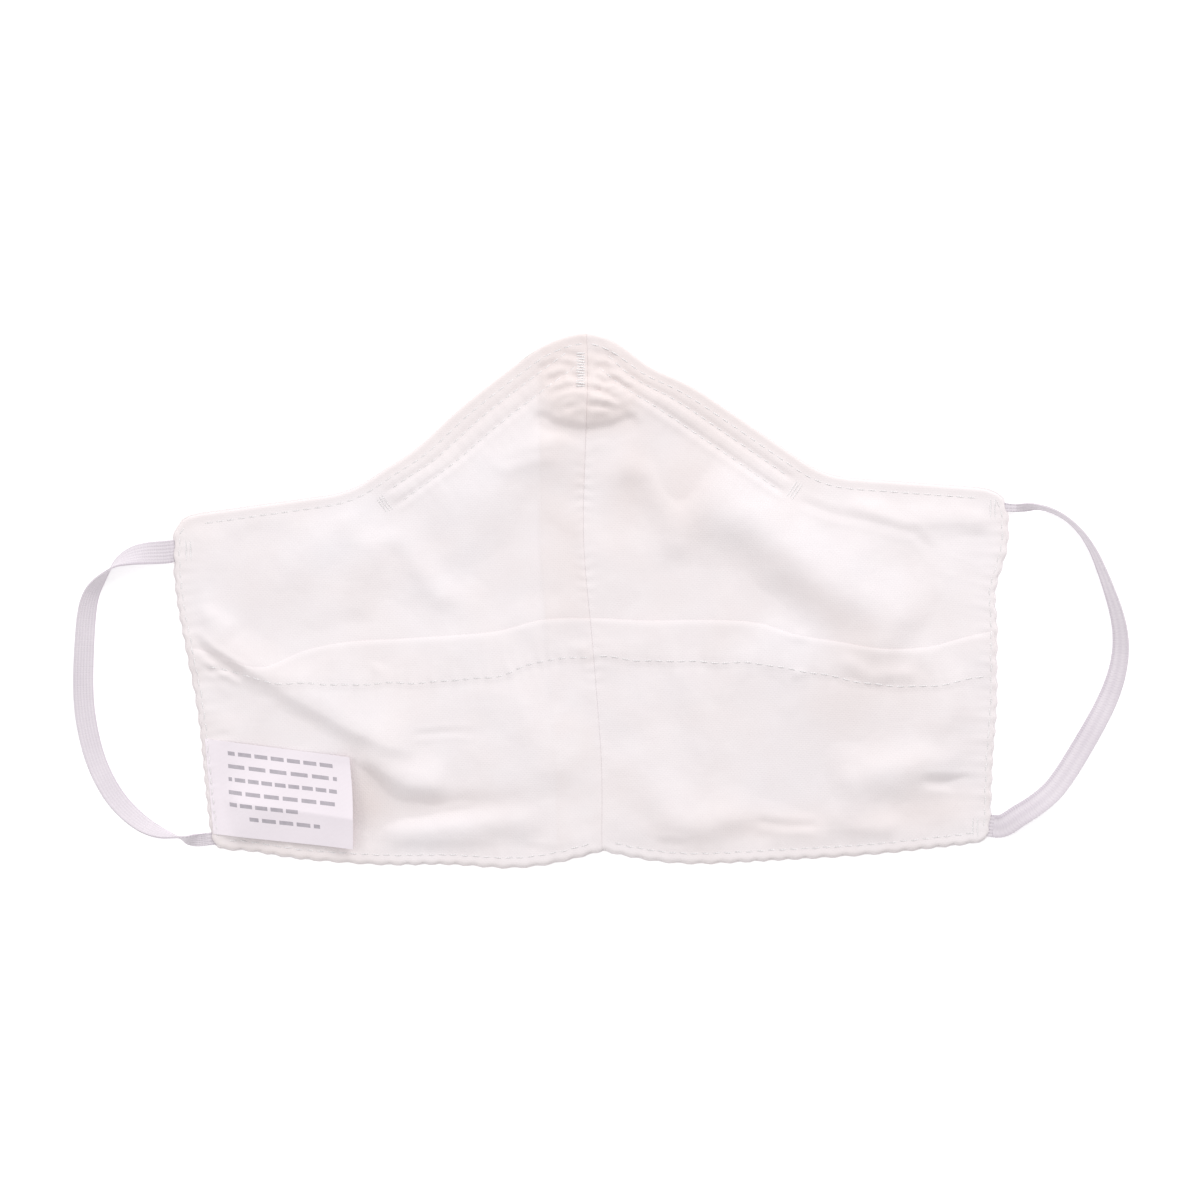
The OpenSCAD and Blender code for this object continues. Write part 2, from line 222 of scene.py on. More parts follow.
def moved_in(line, distance):
    """A run of points moved to its right by a distance."""
    along = unit(np.gradient(line, axis=0))
    return line + np.stack([along[:, 1], -along[:, 0]], axis=1) * distance


def near_line(xy, line):
    """Distance of each point from a run of points, how far along it is, its side and the run's length."""
    line = np.asarray(line, float)
    run = run_lengths(line)
    best = np.full(len(xy), 1e9)
    length = np.zeros(len(xy))
    side = np.ones(len(xy))
    for k in range(len(line) - 1):
        step = line[k + 1] - line[k]
        t = np.clip((xy - line[k]) @ step / (step @ step), 0, 1)
        off = xy - line[k] - t[:, None] * step
        d = np.hypot(off[:, 0], off[:, 1])
        closer = d < best
        best = np.where(closer, d, best)
        length = np.where(closer, run[k] + t * (run[k + 1] - run[k]), length)
        side = np.where(closer, np.sign(step[0] * off[:, 1] - step[1] * off[:, 0]), side)
    return best, length, side, run[-1]


# ---------------------------------------------------------------- the outline, taken from the frame

def half_outline():
    """The right half's outline on the surface, from the peak round to the notch."""
    co = points_of(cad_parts["right_shell"])
    flat = np.unique(np.round(co[co[:, 2] < 0.01][:, :2], 3), axis=0)
    middle = np.array([45.0, -5.0])
    angle = np.arctan2(flat[:, 1] - middle[1], flat[:, 0] - middle[0])
    return flat[np.argsort(-angle)]


OUTLINE = half_outline()
TOP_CORNER = int(np.argmax(OUTLINE.sum(axis=1)))
BOTTOM_CORNER = int(np.argmax(OUTLINE[:, 0] - OUTLINE[:, 1]))
TOP_EDGE = resampled(OUTLINE[:TOP_CORNER + 1], 60)
SIDE_EDGE = resampled(OUTLINE[TOP_CORNER:BOTTOM_CORNER + 1], 45)
BOTTOM_EDGE = resampled(OUTLINE[BOTTOM_CORNER:], 50)
SEAM_X = 0.01
OUTLINE[[0, -1], 0] = SEAM_X

# The nose wire lies along the sloping edge
WIRE_BOX = [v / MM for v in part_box("right_nose_wire")]
SLOPE = unit(np.array([53.0, -39.0]))
WIRE_MIDDLE = np.array([(WIRE_BOX[0].x + WIRE_BOX[1].x) / 2, (WIRE_BOX[0].y + WIRE_BOX[1].y) / 2])
WIRE_HALF_LEN = 30.0
WIRE_LINE = np.array([WIRE_MIDDLE - SLOPE * WIRE_HALF_LEN, WIRE_MIDDLE + SLOPE * WIRE_HALF_LEN])
SLOPE_IN = np.array([SLOPE[1], -SLOPE[0]])
CASING_HALF = 2.2
ROWS = {
    "top": moved_in(TOP_EDGE, TOP_ROW),
    "side": moved_in(SIDE_EDGE, SIDE_ROW),
    "bottom": moved_in(BOTTOM_EDGE, BOTTOM_ROW),
    "casing_outer": WIRE_LINE - SLOPE_IN * CASING_HALF,
    "casing_inner": WIRE_LINE + SLOPE_IN * CASING_HALF,
}


def smooth_run(points, steps):
    """A smooth run through given points, with a number of steps between each two."""
    p = np.array(points, float)
    p = np.vstack([2 * p[0] - p[1], p, 2 * p[-1] - p[-2]])
    fine = []
    for k in range(1, len(p) - 2):
        a, b, c, d = p[k - 1:k + 3]
        for t in np.linspace(0, 1, steps, endpoint=False):
            fine.append(0.5 * (2 * b + (c - a) * t + (2 * a - 5 * b + 4 * c - d) * t ** 2
                               + (3 * b - a - 3 * c + d) * t ** 3))
    return np.array(fine + [p[-2]])


MOUTH = smooth_run(MOUTH_LINE, 5)
HEM = smooth_run(HEM_LINE, 5)


def mouth_at(x):
    return np.interp(x, MOUTH[:, 0], MOUTH[:, 1])


def hem_foot_at(x):
    return np.interp(x, HEM[:, 0], HEM[:, 1]) + HEM_WOBBLE * np.sin(x / 2.3) * np.sin(x / 9.1 + 1)


def hem_row(side):
    """The hem's stitches on one half, run from the seam outwards, with X as on the right half."""
    x = np.linspace(HEM_ROW_FROM, HEM_ROW_TO, 60)
    return np.stack([x, hem_foot_at(x * side)], axis=1)


# How the laid cloth strays from its cut outline: middle, shift and reach
STRAYS = [
    ((-97, -67), (0.3, 4.6), (17, 13)),
    ((-70, -69), (0, 2.3), (17, 10)),
    ((-42, -69), (0, 1.7), (16, 9)),
    ((-44, 42), (0.3, -1.4), (13, 8)),
    ((16, 64), (-0.4, -2.5), (11, 9)),
    ((109, 0), (-2.4, 0), (12, 8)),
    ((105, -28), (1.0, 0), (12, 13)),
    ((-107, -13), (-0.9, 0), (12, 13)),
    ((-3, 64), (0.8, 0), (14, 14)),
    ((0, 16), (-1.9, 0), (24, 24)),
    ((0, -44), (0.8, 0), (22, 18)),
]

# Scallops that the edge rows draw into the side and bottom edges
SCALLOP = 0.22
SCALLOP_REACH = 2.5
SCALLOP_FADE = 8.0
SIDE_FROM_X = 92.0
FOOT_FROM_Y = 52.0


def scallops(along, rate, drift, drift_length):
    """Scallops along an edge, not quite evenly spaced."""
    return SCALLOP * np.sin(along * rate + drift * np.sin(along / drift_length))


def strayed(xy):
    """Where points of the cut cloth come to lie."""
    xy = np.asarray(xy, float)
    moved = xy.copy()
    for middle, shift, reach in STRAYS:
        near = np.exp(-((xy[:, 0] - middle[0]) / reach[0]) ** 2 - ((xy[:, 1] - middle[1]) / reach[1]) ** 2)
        moved += near[:, None] * np.array(shift)
    close = np.exp(-np.maximum(edge_distance(xy), 0) / SCALLOP_REACH)
    at_side = close * ease((np.abs(xy[:, 0]) - SIDE_FROM_X) / SCALLOP_FADE)
    at_foot = close * ease((-xy[:, 1] - FOOT_FROM_Y) / SCALLOP_FADE)
    moved[:, 0] += scallops(xy[:, 1], 1.45, 1.2, 6) * at_side
    moved[:, 1] += scallops(xy[:, 0], 1.3, 1.4, 7) * at_foot
    return moved


def folded_over(xy):
    """Both halves' points as they would be on the right half."""
    return np.stack([np.abs(xy[:, 0]), xy[:, 1]], axis=1)


# ---------------------------------------------------------------- how the cloth lies

def faded_ends(s, total, taper):
    """Full along a line and nothing at its two ends."""
    return ease(s / taper) * ease((total - s) / taper)


def ridge(xy, line, height, left, right, taper=6.0):
    """A fold along a line, with its own slope on each side; a negative height is a valley."""
    d, s, side, total = near_line(xy, line)
    width = np.where(side > 0, left, right)
    return height * np.exp(-(d / width) ** 2) * faded_ends(s, total, taper)


def crease(xy, line, depth, width, taper=3.0):
    """A sharp pressed line with soft shoulders."""
    d, s, _, total = near_line(xy, line)
    shoulders = 0.5 * np.exp(-((d - 2 * width) / width) ** 2)
    return depth * (shoulders - np.exp(-d / width)) * faded_ends(s, total, taper)


def mound(xy, middle, size, lean, height):
    """A soft oval rise, or a hollow where height is negative."""
    a = math.radians(lean)
    x = xy[:, 0] - middle[0]
    y = xy[:, 1] - middle[1]
    p = (x * math.cos(a) + y * math.sin(a)) / size[0]
    q = (-x * math.sin(a) + y * math.cos(a)) / size[1]
    return height * np.exp(-(p * p + q * q))


def rough(xy, scale, seed, octaves=3):
    """Gentle unevenness from -1 to 1 with features of about that size."""
    return np.array([
        noise.fractal(Vector((x / scale, y / scale, seed)), 0.8, 2.1, octaves)
        for x, y in xy
    ])


def inside_outline(xy, outline):
    """Which points lie inside a closed outline."""
    inside = np.zeros(len(xy), bool)
    for a, b in zip(outline[:-1], outline[1:]):
        spans = (a[1] > xy[:, 1]) != (b[1] > xy[:, 1])
        rise = b[1] - a[1] if abs(b[1] - a[1]) > 1e-9 else 1e-9
        inside ^= spans & (xy[:, 0] < (b[0] - a[0]) * (xy[:, 1] - a[1]) / rise + a[0])
    return inside


def measured_edge(xy):
    """Distance inside the top, side and bottom edges; negative outside them."""
    q = folded_over(xy)
    d = np.min([near_line(q, line)[0] for line in (TOP_EDGE, SIDE_EDGE, BOTTOM_EDGE)], axis=0)
    whole = np.vstack([OUTLINE, [[-50, OUTLINE[-1][1]], [-50, OUTLINE[0][1]]], OUTLINE[:1]])
    return np.where(inside_outline(q, whole), d, -d)


FIELD_PITCH = 0.4
FIELD_LOW = np.array([-112.0, -72.0])
FIELD_COUNT = (561, 361)
FIELDS = {}


def field(name, measure):
    """Measures something once on a fine grid over the whole mask."""
    i, j = np.meshgrid(np.arange(FIELD_COUNT[0]), np.arange(FIELD_COUNT[1]), indexing="ij")
    xy = FIELD_LOW + np.stack([i.ravel(), j.ravel()], axis=1) * FIELD_PITCH
    FIELDS[name] = measure(xy).reshape(FIELD_COUNT)


def read_grid(values, low, pitch, xy):
    """Reads a grid of values between its points."""
    g = (np.asarray(xy) - low) / pitch
    i = np.clip(g[:, 0].astype(int), 0, values.shape[0] - 2)
    j = np.clip(g[:, 1].astype(int), 0, values.shape[1] - 2)
    s = g[:, 0] - i
    t = g[:, 1] - j
    near = mix(values[i, j], values[i + 1, j], s)
    far = mix(values[i, j + 1], values[i + 1, j + 1], s)
    return mix(near, far, t)


def read_field(name, xy):
    return read_grid(FIELDS[name], FIELD_LOW, FIELD_PITCH, xy)


def edge_distance(xy):
    return read_field("edge", xy)


field("edge", measured_edge)


# Rises of the whole body, through all its layers: middle, size, lean, height
BILLOWS = [
    ((-52, -30), (34, 20), -12, 1.3),
    ((58, -26), (36, 22), 14, 1.5),
    ((-26, 32), (24, 13), 34, 1.2),
    ((34, 26), (26, 13), -34, 1.6),
    ((-84, 8), (18, 12), 0, 0.8),
    ((86, 4), (18, 12), 0, 0.9),
    ((0, 52), (14, 12), 0, 1.2),
]

# Folds of the lining: line, height, width to the left of its run, width to the right, taper
FOLDS = [
    # the long fold that falls from the left side across the pocket
    ([(-105, -3), (-97, -9), (-88, -16), (-81, -21), (-73, -26), (-65, -31), (-54, -36), (-45, -38)],
     2.3, 5.5, 2.6, 9),
    ([(-104, 1), (-99, -1), (-93, -6)], 1.2, 2.2, 3.0, 4),
    # fan of folds from the outer end of the left casing
    ([(-57, 22), (-60, 10), (-62, -6)], 1.2, 4.0, 3.5, 7),
    ([(-59, 25), (-72, 18), (-82, 8)], 0.8, 5.5, 4.5, 6),
    ([(-54, 22), (-44, 8), (-36, -2)], 1.1, 4.0, 3.0, 6),
    # beside and below the label
    ([(-64, -37), (-57, -42), (-50, -46), (-38, -47)], 3.2, 6.0, 3.4, 6),
    ([(-60, -60), (-44, -60), (-26, -57), (-14, -60)], 1.7, 4.2, 4.6, 8),
    ([(-22, -20), (-17, -34), (-14, -52)], 1.2, 6.0, 5.0, 10),
    # under the peak
    ([(-26, 35), (-16, 38), (-6, 41)], 1.0, 2.4, 4.0, 5),
    ([(6, 38), (16, 32), (22, 22), (24, 8)], 1.2, 3.5, 4.5, 7),
    # the broad fold across the right half
    ([(24, 30), (42, 18), (59, 6), (74, -6), (85, -15)], 3.3, 9.5, 9.5, 10),
    ([(96, -18), (92, -30), (88, -42)], 1.3, 4.0, 5.0, 8),
    ([(66, 24), (82, 18), (96, 18), (106, 16)], 1.0, 3.2, 2.4, 5),
    ([(62, -16), (72, -22), (86, -22)], 1.1, 2.2, 2.6, 5),
    # bottom right corner
    ([(60, -52), (72, -48), (86, -45), (97, -47)], 2.4, 5.0, 7.0, 7),
    ([(58, -56), (68, -62), (80, -63)], 1.3, 4.4, 3.6, 5),
    ([(12, -58), (26, -60), (42, -57)], 1.5, 4.6, 3.2, 7),
]

# Pressed lines: line, depth, width
CREASES = [
    ([(-106, -5.5), (-101, -10.5), (-96, -14), (-91, -17)], 1.9, 1.1),
    ([(-105, -13), (-99, -15), (-94, -13.5)], 0.9, 0.9),
    ([(-49, -33.5), (-39, -33), (-31, -33.5)], 0.35, 0.8),
    ([(-24, 36.5), (-15, 39), (-7, 40)], 0.45, 1.2),
    ([(54, 25), (63, 21), (75, 18), (85, 15), (92, 7), (104, 3)], 0.4, 1.1),
    ([(40, -59), (48, -60.5), (58, -61)], 0.5, 1.0),
    ([(-104, -32), (-95, -31.6)], 0.35, 0.8),
    ([(84, -50), (91, -50.4), (99, -51)], 0.6, 1.2),
    ([(13, -64), (23, -65)], 0.45, 1.0),
    ([(-21, -64.5), (-9, -66)], 0.5, 1.0),
]

# Hollows and small knots in the cloth: middle, size, lean, height
DENTS = [
    ((-50, 14), (4.0, 9.0), 18, -0.9),
    ((26, 33), (4.5, 6.5), -30, -0.8),
    ((-44, -53.5), (20, 3.4), 3, -2.6),
    ((-60, -47), (3.4, 7.5), 16, -2.4),
    ((92, -51), (7, 2.0), -6, -1.5),
    ((76, -56), (16, 5), 8, -1.2),
    ((26, 30), (8, 12), -24, -1.8),
    ((46, 2), (20, 6), -42, -1.4),
    ((14, 40), (4, 14), -12, 0.9),
    ((70, -30), (20, 12), 10, -1.2),
    ((-88, -28), (12, 5), -30, -0.9),
    ((54, -11), (2.0, 1.5), 0, 0.7),
    ((53, -21), (1.8, 1.3), 10, 0.7),
    ((-3, -12.5), (3.2, 1.6), -18, 0.6),
    ((-57, -16), (2.4, 1.5), -40, 0.6),
    ((103, 18), (5.0, 3.0), -30, 0.8),
]


# Short wrinkles gathered at the peak: line, depth
GATHERS = [
    ([(-12, 57.2), (-6, 59.6), (-1, 58.6)], 0.6),
    ([(-14, 61.4), (-8, 62.4), (-1, 61.2)], 0.5),
    ([(-8, 65.5), (-3, 64.2), (0, 64.8)], 0.5),
    ([(0, 60.6), (5, 62.2), (10, 61)], 0.6),
    ([(2, 57.6), (8, 58.2), (13, 55.6)], 0.5),
    ([(-1, 66.4), (3, 65.2), (9, 65.4)], 0.45),
    ([(-4, 60), (-3, 57), (-4, 54)], 0.5),
    ([(4, 64), (5, 61), (4, 58)], 0.4),
    ([(-10, 54.6), (-4, 56.2), (3, 55.2), (10, 52)], 0.7),
    ([(-7, 50.5), (0, 51.6), (8, 50.4)], 0.6),
]


GATHER_WIDTH = 0.8
KNOT = ((1, 52.5), (12, 6.2), 0, 1.9)
KNOT_FOOT = ([(-14, 50), (-9, 46.4), (-1, 44.6), (7, 45.2), (14, 48)], -1.5, 1.3, 2.4, 4)
KNOT_LUMPS = ((1, 56), (12, 10), 0, 0.6)


def peak_knot(xy):
    """The bulky end of the centre seam, pinched in under the peak."""
    wrinkles = sum(crease(xy, line, depth, GATHER_WIDTH) for line, depth in GATHERS)
    lumps = mound(xy, *KNOT_LUMPS) * rough(xy, 3.0, 5.0)
    return mound(xy, *KNOT) + wrinkles + ridge(xy, *KNOT_FOOT) + lumps


# The edges lift in slow waves, but lie flat where the elastics leave them
EDGE_WAVE = 0.9
LOOP_ENDS = ((110, 19), (104, -61))
FLAT_NEAR_LOOP = 6.0
WAVE_FADE = 22.0


def measured_billow(xy):
    lie = sum(mound(xy, *b) for b in BILLOWS)
    calm = ease(edge_distance(xy) / 14)
    wave = EDGE_WAVE * (0.5 + 0.5 * rough(xy, 24, 11.0, 2))
    near_loop = np.min([np.hypot(np.abs(xy[:, 0]) - x, xy[:, 1] - y) for x, y in LOOP_ENDS], axis=0)
    return lie * calm + wave * ease((near_loop - FLAT_NEAR_LOOP) / WAVE_FADE)


def billow(xy):
    return read_field("billow", xy)


def near_row(xy, name):
    """Distance from a stitched row, how far along it and its length."""
    d, s, _, run = near_line(xy, HEM) if name == "hem" else near_line(folded_over(xy), ROWS[name])
    return d, s, run


# What each stitched row does to the cloth: height and reach of its puckers, depth and width of its groove.
# The left half's puckers are out of step with the right's.
ROW_MARKS = {
    "top": (0.07, 2.2, 0.06, 1.1),
    "side": (0.16, 3.2, 0.08, 1.1),
    "bottom": (0.15, 3.4, 0.08, 1.1),
    "casing_outer": (0.06, 1.8, 0.2, 0.8),
    "casing_inner": (0.12, 4.2, 0.2, 0.8),
    "hem": (0.2, 3.4, 0.08, 1.1),
}
LEFT_PHASE = 1.7

# The gathers beside the centre seam: height, reach, where along it they begin and how far they grow
SEAM_GATHER = 0.16
SEAM_GATHER_REACH = 2.2
SEAM_GATHER_FROM = -62.0
SEAM_GATHER_RUN = 90.0


def row_puckers(xy):
    """Short waves that the stitched rows draw into the cloth beside them."""
    total = np.zeros(len(xy))
    hand = np.where(xy[:, 0] < 0, LEFT_PHASE, 0.0)
    for k, (name, (height, reach, _, _)) in enumerate(ROW_MARKS.items()):
        d, s, run = near_row(xy, name)
        slow = np.sin(s * math.pi / STITCH_PITCH + hand + k) * np.sin(s / 5.3 + 2 * k + hand * 2)
        each = np.sin(s * 2 * math.pi / STITCH_PITCH)
        total += height * (0.6 * slow + 0.4 * each) * np.exp(-d / reach) * faded_ends(s, run, 3)
    return total


def seam_gathers(xy):
    """Small gathers beside the centre seam, stronger towards the peak."""
    x, y = xy[:, 0], xy[:, 1]
    near = np.exp(-(x / SEAM_GATHER_REACH) ** 2) * ease((y - SEAM_GATHER_FROM) / SEAM_GATHER_RUN)
    return SEAM_GATHER * near * np.sin(y * 2.1 + 0.8 * np.sin(x + y / 5)) * (0.6 + 0.4 * np.sin(y / 3.7))


def grooves(xy):
    """How far the stitched rows press the cloth down."""
    total = np.zeros(len(xy))
    for name, (_, _, depth, width) in ROW_MARKS.items():
        d, s, run = near_row(xy, name)
        total += depth * np.exp(-(d / width) ** 2) * ease((s + 0.5) / 2) * ease((run - s + 0.5) / 2)
    return total


# The ridge over the wire, and the welts outside and inside its casing
WIRE_RISE = 0.34
WIRE_REACH = 1.35
WELT_RISE = 0.2
OUTER_WELT = (-1.8, 1.2)
INNER_WELT = (1.6, 1.0)
LEFT_CASING_SHARE = 0.6


def casing_rise(xy):
    """The wire in its casing, and the edge band beside it."""
    q = folded_over(xy)
    d, s, _, run = near_line(q, WIRE_LINE)
    rise = WIRE_RISE * np.exp(-(d / WIRE_REACH) ** 4)
    for name, (offset, reach) in (("casing_outer", OUTER_WELT), ("casing_inner", INNER_WELT)):
        welt = near_line(q, ROWS[name] + SLOPE_IN * offset)[0]
        rise += WELT_RISE * np.exp(-(welt / reach) ** 2)
    ends = ease((s + 1) / 4) * ease((run - s + 1) / 3)
    return rise * ends * np.where(xy[:, 0] > 0, 1.0, LEFT_CASING_SHARE)


ALLOWANCE_RISE = 0.28
ALLOWANCE_EDGE = 12.6


def allowance_rise(xy):
    """The step over the seam's pressed allowance on the left half."""
    return ALLOWANCE_RISE * ease((ALLOWANCE_EDGE + xy[:, 0]) / 0.9) * (xy[:, 0] < 0)


# How much of the placed folds and of the simulated slack shows, and how the lining bottoms out on the felt
FOLD_SHARE = 0.55
SLACK_SHARE = 0.6
FLOOR_DEPTH = 0.22
FLOOR_SLOPE = 0.08


def lining_folds(xy):
    """Everything that lifts or dents the lining over the layers below it."""
    lift = sum(ridge(xy, *f) for f in FOLDS)
    lift += sum(crease(xy, *c) for c in CREASES)
    lift += sum(mound(xy, *d) for d in DENTS)
    lift += 0.30 * rough(xy, 17, 3.0) + 0.12 * rough(xy, 5.5, 7.0)
    calm = ease((edge_distance(xy) - 1.2) / 6)
    lift = (lift * FOLD_SHARE + settled(xy) * SLACK_SHARE) * calm
    lift += peak_knot(xy) * ease(edge_distance(xy) / 3)
    return np.maximum(lift, FLOOR_SLOPE * lift - FLOOR_DEPTH)


# ---------------------------------------------------------------- settling the lining by simulation

SIM_PITCH = 1.8
SIM_SCALE = 20 * MM
SIM_LOW = np.array([-110.0, -71.0])
SIM_SIZE = np.array([220.0, 142.0])
SIM_FRAMES = 26
HELD_AT_EDGE = 2.4
HELD_AT_SEAM = 1.2
HELD_AT_ROW = 1.3


def settled(xy):
    if "slack" not in FIELDS:
        return np.zeros(len(xy))
    return read_grid(FIELDS["slack"], SIM_LOW, SIM_PITCH, xy)


# ---------------------------------------------------------------- surfaces of the body

def rim(xy):
    d = np.clip(edge_distance(xy) / EDGE_ROUND, 0, 1)
    return EDGE_DROP * (1 - np.sqrt(1 - (1 - d) ** 2))


SEAM_DIP = 0.07
SEAM_DIP_W = 0.9


def seam_dip(xy):
    """Both halves turn down into the centre seam."""
    d = np.clip((np.abs(xy[:, 0]) - SEAM_X) / SEAM_DIP_W, 0, 1)
    return SEAM_DIP * (1 - d) ** 2


def measured_top(xy):
    """Upper surface of the body where one lining covers it, without the turned edges."""
    rises = (billow, lining_folds, row_puckers, seam_gathers, casing_rise, allowance_rise)
    return BODY_T + sum(rise(xy) for rise in rises) - grooves(xy)


def body_top(xy):
    return read_field("body", xy) - rim(xy) - seam_dip(xy)


def lap_rise(xy):
    """What the lower lining adds over the upper one, from the hem down to the lap's foot."""
    mouth = mouth_at(xy[:, 0])
    hem = ease((xy[:, 1] - hem_foot_at(xy[:, 0]) + 1.9) / 2.2)
    lap = ease((xy[:, 1] - mouth + LAP_D) / LAP_FADE + 0.5)
    return (LAP_T * lap + (HEM_T - LAP_T) * hem) * ease(edge_distance(xy) / 1.5)


def upper_top(xy):
    """The upper lining, drawn up a little towards the mouth that it passes under."""
    above = xy[:, 1] - mouth_at(xy[:, 0])
    return body_top(xy) + MOUTH_DRAW * np.exp(-(np.maximum(above, 0) / 4) ** 2) - 0.12 * ease(-above / 1.5)


def lower_top(xy):
    mouth = mouth_at(xy[:, 0])
    roll = np.clip((mouth - xy[:, 1]) / MOUTH_ROLL_W, 0, 1)
    return body_top(xy) + lap_rise(xy) - MOUTH_ROLL * (1 - roll) ** 2


def cloth_top(xy):
    return np.where(xy[:, 1] > mouth_at(xy[:, 0]), upper_top(xy), lower_top(xy))


def shell_top(xy):
    return billow(xy) + rim(xy) + seam_dip(xy) + SHELL_T


def level(height):
    """A surface at one height in the billowing body."""
    return lambda xy: billow(xy) + height


field("billow", measured_billow)


# ---------------------------------------------------------------- camera

def make_camera():
    """Straight above, with the mask turned a little in the frame."""
    lens = 85
    sensor = 36
    frame_width = 0.315
    lean = math.radians(-1.9)
    eye = Vector((0.00185, 0.0002, 0.002 + frame_width * lens / sensor))
    data = bpy.data.cameras.new("camera")
    data.lens = lens
    data.clip_start = 0.01
    data.clip_end = 5
    camera = bpy.data.objects.new("camera", data)
    camera.location = eye
    camera.rotation_euler = (0, 0, lean)
    bpy.context.scene.collection.objects.link(camera)
    bpy.context.scene.camera = camera


make_camera()


# ---------------------------------------------------------------- ear elastics

# [x, y, height of the lower edge, roll of the band], from the top end to the bottom one
LEFT_ROUTE = [
    [-110.6, 16.7, 0.5, 180], [-112.2, 16.55, 0.5, 180], [-114, 16.5, 0.3, 175], [-116.6, 16.4, 0.1, 164],
    [-119.6, 16, 0, 148], [-122.4, 15.1, 0, 130], [-124.9, 13.8, 0, 110], [-127, 11.9, 0, 90],
    [-129.2, 9.5, 0, 72], [-131, 7, 0, 60], [-132.2, 4, 0, 52], [-133, 0, 0, 47],
    [-133.6, -5.5, 0, 45], [-134.1, -11.5, 0, 43], [-134.4, -17.5, 0, 42], [-134.3, -23.5, 0, 41],
    [-133.6, -29.5, 0, 41], [-132.3, -35.5, 0, 42], [-130.4, -41, 0, 43], [-127.6, -46.4, 0, 44],
    [-124, -51, 0, 48], [-119.6, -54.8, 0, 56], [-115.4, -57, 0, 70], [-111.2, -58.2, 0, 92],
    [-109, -58.8, 0.2, 115], [-107.3, -59.1, 0.4, 146], [-105.6, -59.35, 0.5, 178], [-103.4, -59.2, 0.5, 180],
]
RIGHT_ROUTE = [
    [110.6, 20.9, 0.5, 0], [112.2, 20.75, 0.5, 1], [113.8, 20.8, 0.4, 28], [115.4, 20.9, 0.2, 56],
    [117.5, 20.7, 0, 76], [120.2, 20, 0, 84], [123.4, 18.4, 0, 87], [126.4, 16, 0, 88],
    [129.2, 12.7, 0, 86], [131.6, 8.5, 0, 82], [133.6, 3.5, 0, 77], [135.4, -1.8, 0, 72],
    [136.9, -7, 0, 67], [137.8, -12, 0, 62], [137.9, -17, 0, 57], [137.1, -22, 0, 52],
    [135.6, -26.8, 0, 46], [133.4, -31.7, 0, 41], [130.8, -36.4, 0, 37], [128, -41, 0, 34],
    [125.2, -45.4, 0, 32], [122.2, -49.8, 0, 31], [118.8, -53.9, 0, 30], [114.4, -57.4, 0, 27],
    [109.8, -60.2, 0, 20], [106.8, -62.1, 0.3, 9], [104.8, -62.74, 0.5, 1], [103.2, -62.6, 0.5, 0],
]
RING_PITCH = 0.32
PICOT = 0.14

# How narrow the band is gathered where it leaves the cloth at its top end and its foot
GATHER = {-1: (1.0, 0.55), 1: (0.36, 1.0)}
GATHER_RUN = 10.0


def smooth_route(route):
    """A smooth line through the route's points, with a ring every fraction of a millimetre."""
    p = np.array(route, float)
    roll = np.radians(p[:, 3])
    p[:, 2] += BAND_W / 2 * np.abs(np.sin(roll)) + BAND_T / 2 * np.abs(np.cos(roll))
    fine = smooth_run(p, 24)
    run = run_lengths(fine[:, :3])
    count = int(round(run[-1] / RING_PITCH))
    lengths = np.linspace(0, run[-1], count + 1)
    return np.stack([np.interp(lengths, run, fine[:, k]) for k in range(4)], axis=1), lengths


# Half of the band's section from its middle to its edge: share of the half width, share of the thickness
HALF_RIBS = [
    (0, 0.42), (0.17, 0.37), (0.33, 0.45), (0.5, 0.36), (0.7, 0.40), (0.84, 0.45), (0.93, 0.40), (1, 0.30),
]
RIBS = np.array([(-x, rise) for x, rise in HALF_RIBS[:0:-1]] + HALF_RIBS)


def band_section(ring, picot):
    """Points round the band's section, across and through it: ribs on both faces and looped edges."""
    wide = RIBS[:, 0] * (BAND_W / 2 - PICOT)
    loop = picot * (0.5 - 0.5 * math.cos(ring * math.pi))
    wide[0] -= loop
    wide[-1] += loop
    upper = np.stack([wide, RIBS[:, 1] * BAND_T], axis=1)
    return np.vstack([upper, upper[::-1] * [1, -1]])


def band_frames(mids, rolls, hand):
    """Directions across and through the band at each ring."""
    run = unit(np.gradient(mids, axis=0))
    up_world = np.array([0, 0, 1.0])
    out = hand * unit(np.cross(run, up_world))
    up = hand * np.cross(out, run)
    c = np.cos(np.radians(rolls))[:, None]
    s = np.sin(np.radians(rolls))[:, None]
    return out * c + up * s, up * c - out * s


def tube(name, rings, lengths):
    """A closed skin over rings of points, with UVs of the distance along and around."""
    count, sides, _ = rings.shape
    obj, column, row = new_grid(name, sides, count - 1)
    set_points(obj, rings[row, column % sides])
    girth = np.concatenate([[0], np.cumsum(np.linalg.norm(np.diff(rings[0], axis=0), axis=1))])
    girth = np.append(girth, girth[-1] + np.linalg.norm(rings[0][0] - rings[0][-1]))
    set_uv(obj, np.stack([girth[column], lengths[row]], axis=1))
    make_active(obj)
    bpy.ops.object.mode_set(mode="EDIT")
    bpy.ops.mesh.select_all(action="SELECT")
    bpy.ops.mesh.remove_doubles(threshold=1e-6)
    bpy.ops.mesh.select_all(action="DESELECT")
    bpy.ops.mesh.select_non_manifold()
    bpy.ops.mesh.edge_face_add()
    bpy.ops.mesh.select_all(action="SELECT")
    bpy.ops.mesh.normals_make_consistent(inside=False)
    bpy.ops.object.mode_set(mode="OBJECT")
    return obj


HALF_NAME = {-1: "left", 1: "right"}


